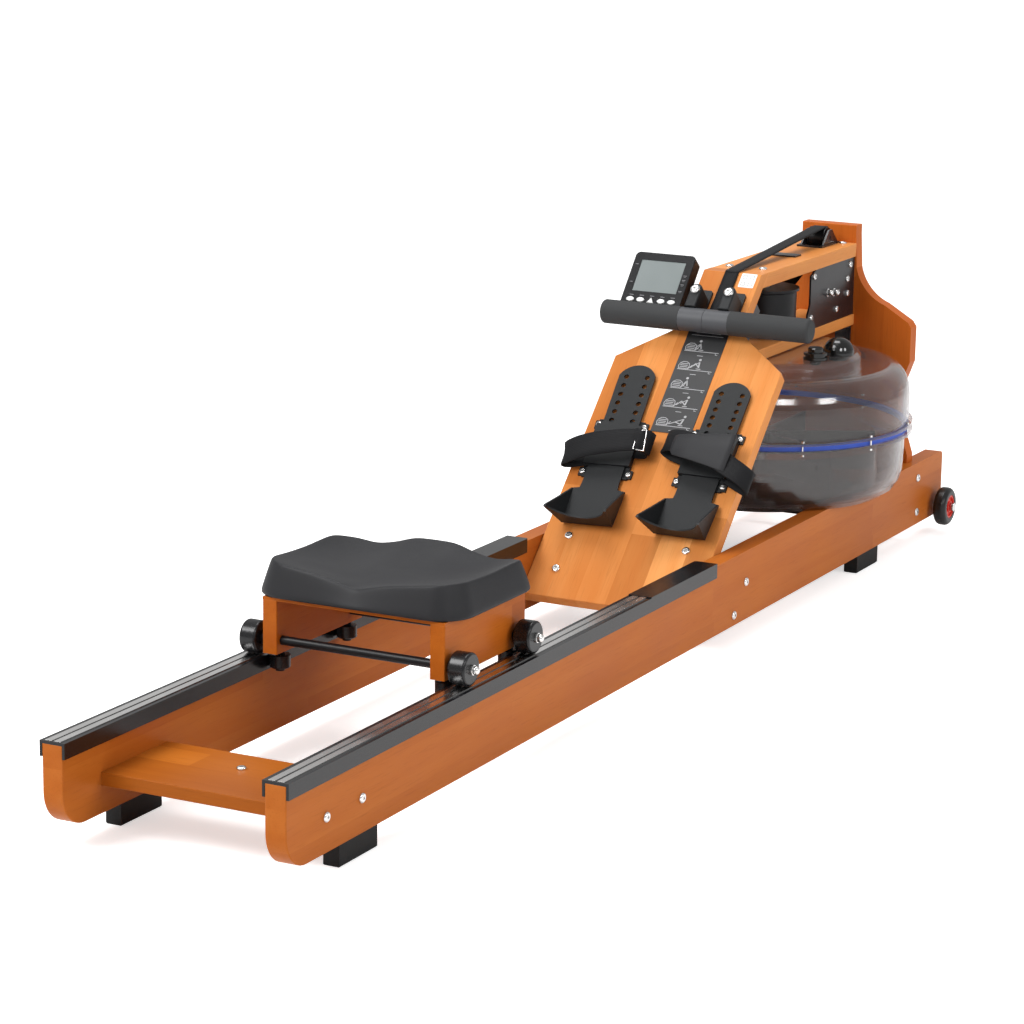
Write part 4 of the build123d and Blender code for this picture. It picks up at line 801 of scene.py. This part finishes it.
def add_stage():
    """A pale floor, an even pale room and soft lamps."""
    f = Finish("pale_floor", {"Roughness": 0.9})
    tone = f.noise(f.place(), 3.0, 2.0)
    f.feed("Base Color", f.mix(tone, 0.90, 0.93))
    seen = f.node("ShaderNodeLightPath").outputs["Is Camera Ray"]
    glow = f.node("ShaderNodeEmission", {"Strength": f.maths("MULTIPLY", seen, FLOOR_GLOW)}).outputs[0]
    both = f.node("ShaderNodeAddShader", {0: f.shader.outputs[0], 1: glow}).outputs[0]
    f.tree.links.new(both, f.tree.nodes["Material Output"].inputs[0])
    mesh = bpy.data.meshes.new("floor")
    reach = FLOOR_REACH
    corners = [(-reach, -reach, 0), (reach, -reach, 0), (reach, reach, 0), (-reach, reach, 0)]
    mesh.from_pydata(corners, [], [(0, 1, 2, 3)])
    mesh.materials.append(f.material)
    floor = bpy.data.objects.new("floor", mesh)
    scene.collection.objects.link(floor)
    world = bpy.data.worlds.new("room")
    scene.world = world
    world.use_nodes = True
    background = world.node_tree.nodes["Background"]
    background.inputs["Color"].default_value = (1.0, 1.0, 1.0, 1)
    background.inputs["Strength"].default_value = ROOM_LIGHT
    add_lamp("key", (-2.6, 1.4, 3.0), (0.0, 0, 0.2), (1.8, 1.8), 120)
    add_lamp("side", (0.4, -4.2, 2.4), (0.0, 0, 0.2), (3.0, 1.6), 75).visible_glossy = False
    add_lamp("top", (0.6, 0.6, 3.6), (0.4, 0, 0.3), (1.6, 1.6), 60)
    for name, place, power in (("glint_left", (-2.2, -2.6, 2.3), 24), ("glint_right", (-0.2, -3.6, 1.9), 16)):
        add_lamp(name, place, (0.6, 0, 0.3), (0.9, 0.3), power).visible_diffuse = False
    scene.view_settings.view_transform = "Standard"


# ---- the whole object --------------------------------------------------------------------------------------
wheel_low, wheel_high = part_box("transport_wheel_left")
WHEEL_MIDDLE = (wheel_low + wheel_high) / 2
HUB_R = 0.0188
AXLE_NUT_Y = 0.1622                    # the seat axles' nuts start this far from the middle
STOP_BOLT_H = 0.0402                   # the stop posts' bolts start this far off the board

paint_nodes()
for wheel in ("transport_wheel_left", "transport_wheel_right"):
    paint_part(wheel, [TYRE, RED], lambda c: math.hypot(c.x - WHEEL_MIDDLE.x, c.z - WHEEL_MIDDLE.z) < HUB_R)
paint_part("seat_axles", [BLACK_PLASTIC, CHROME], lambda c: abs(c.y) > AXLE_NUT_Y)
paint_part("handle_stops", [PEDAL_PLASTIC, CHROME], lambda c: (c - PLATE_FOOT).dot(OFF_BOARD) > STOP_BOLT_H)
make_seat_pad()
make_belts()
make_foot_straps()
make_instruction_figures()
make_label()
make_console_marks()
add_camera()
add_stage()
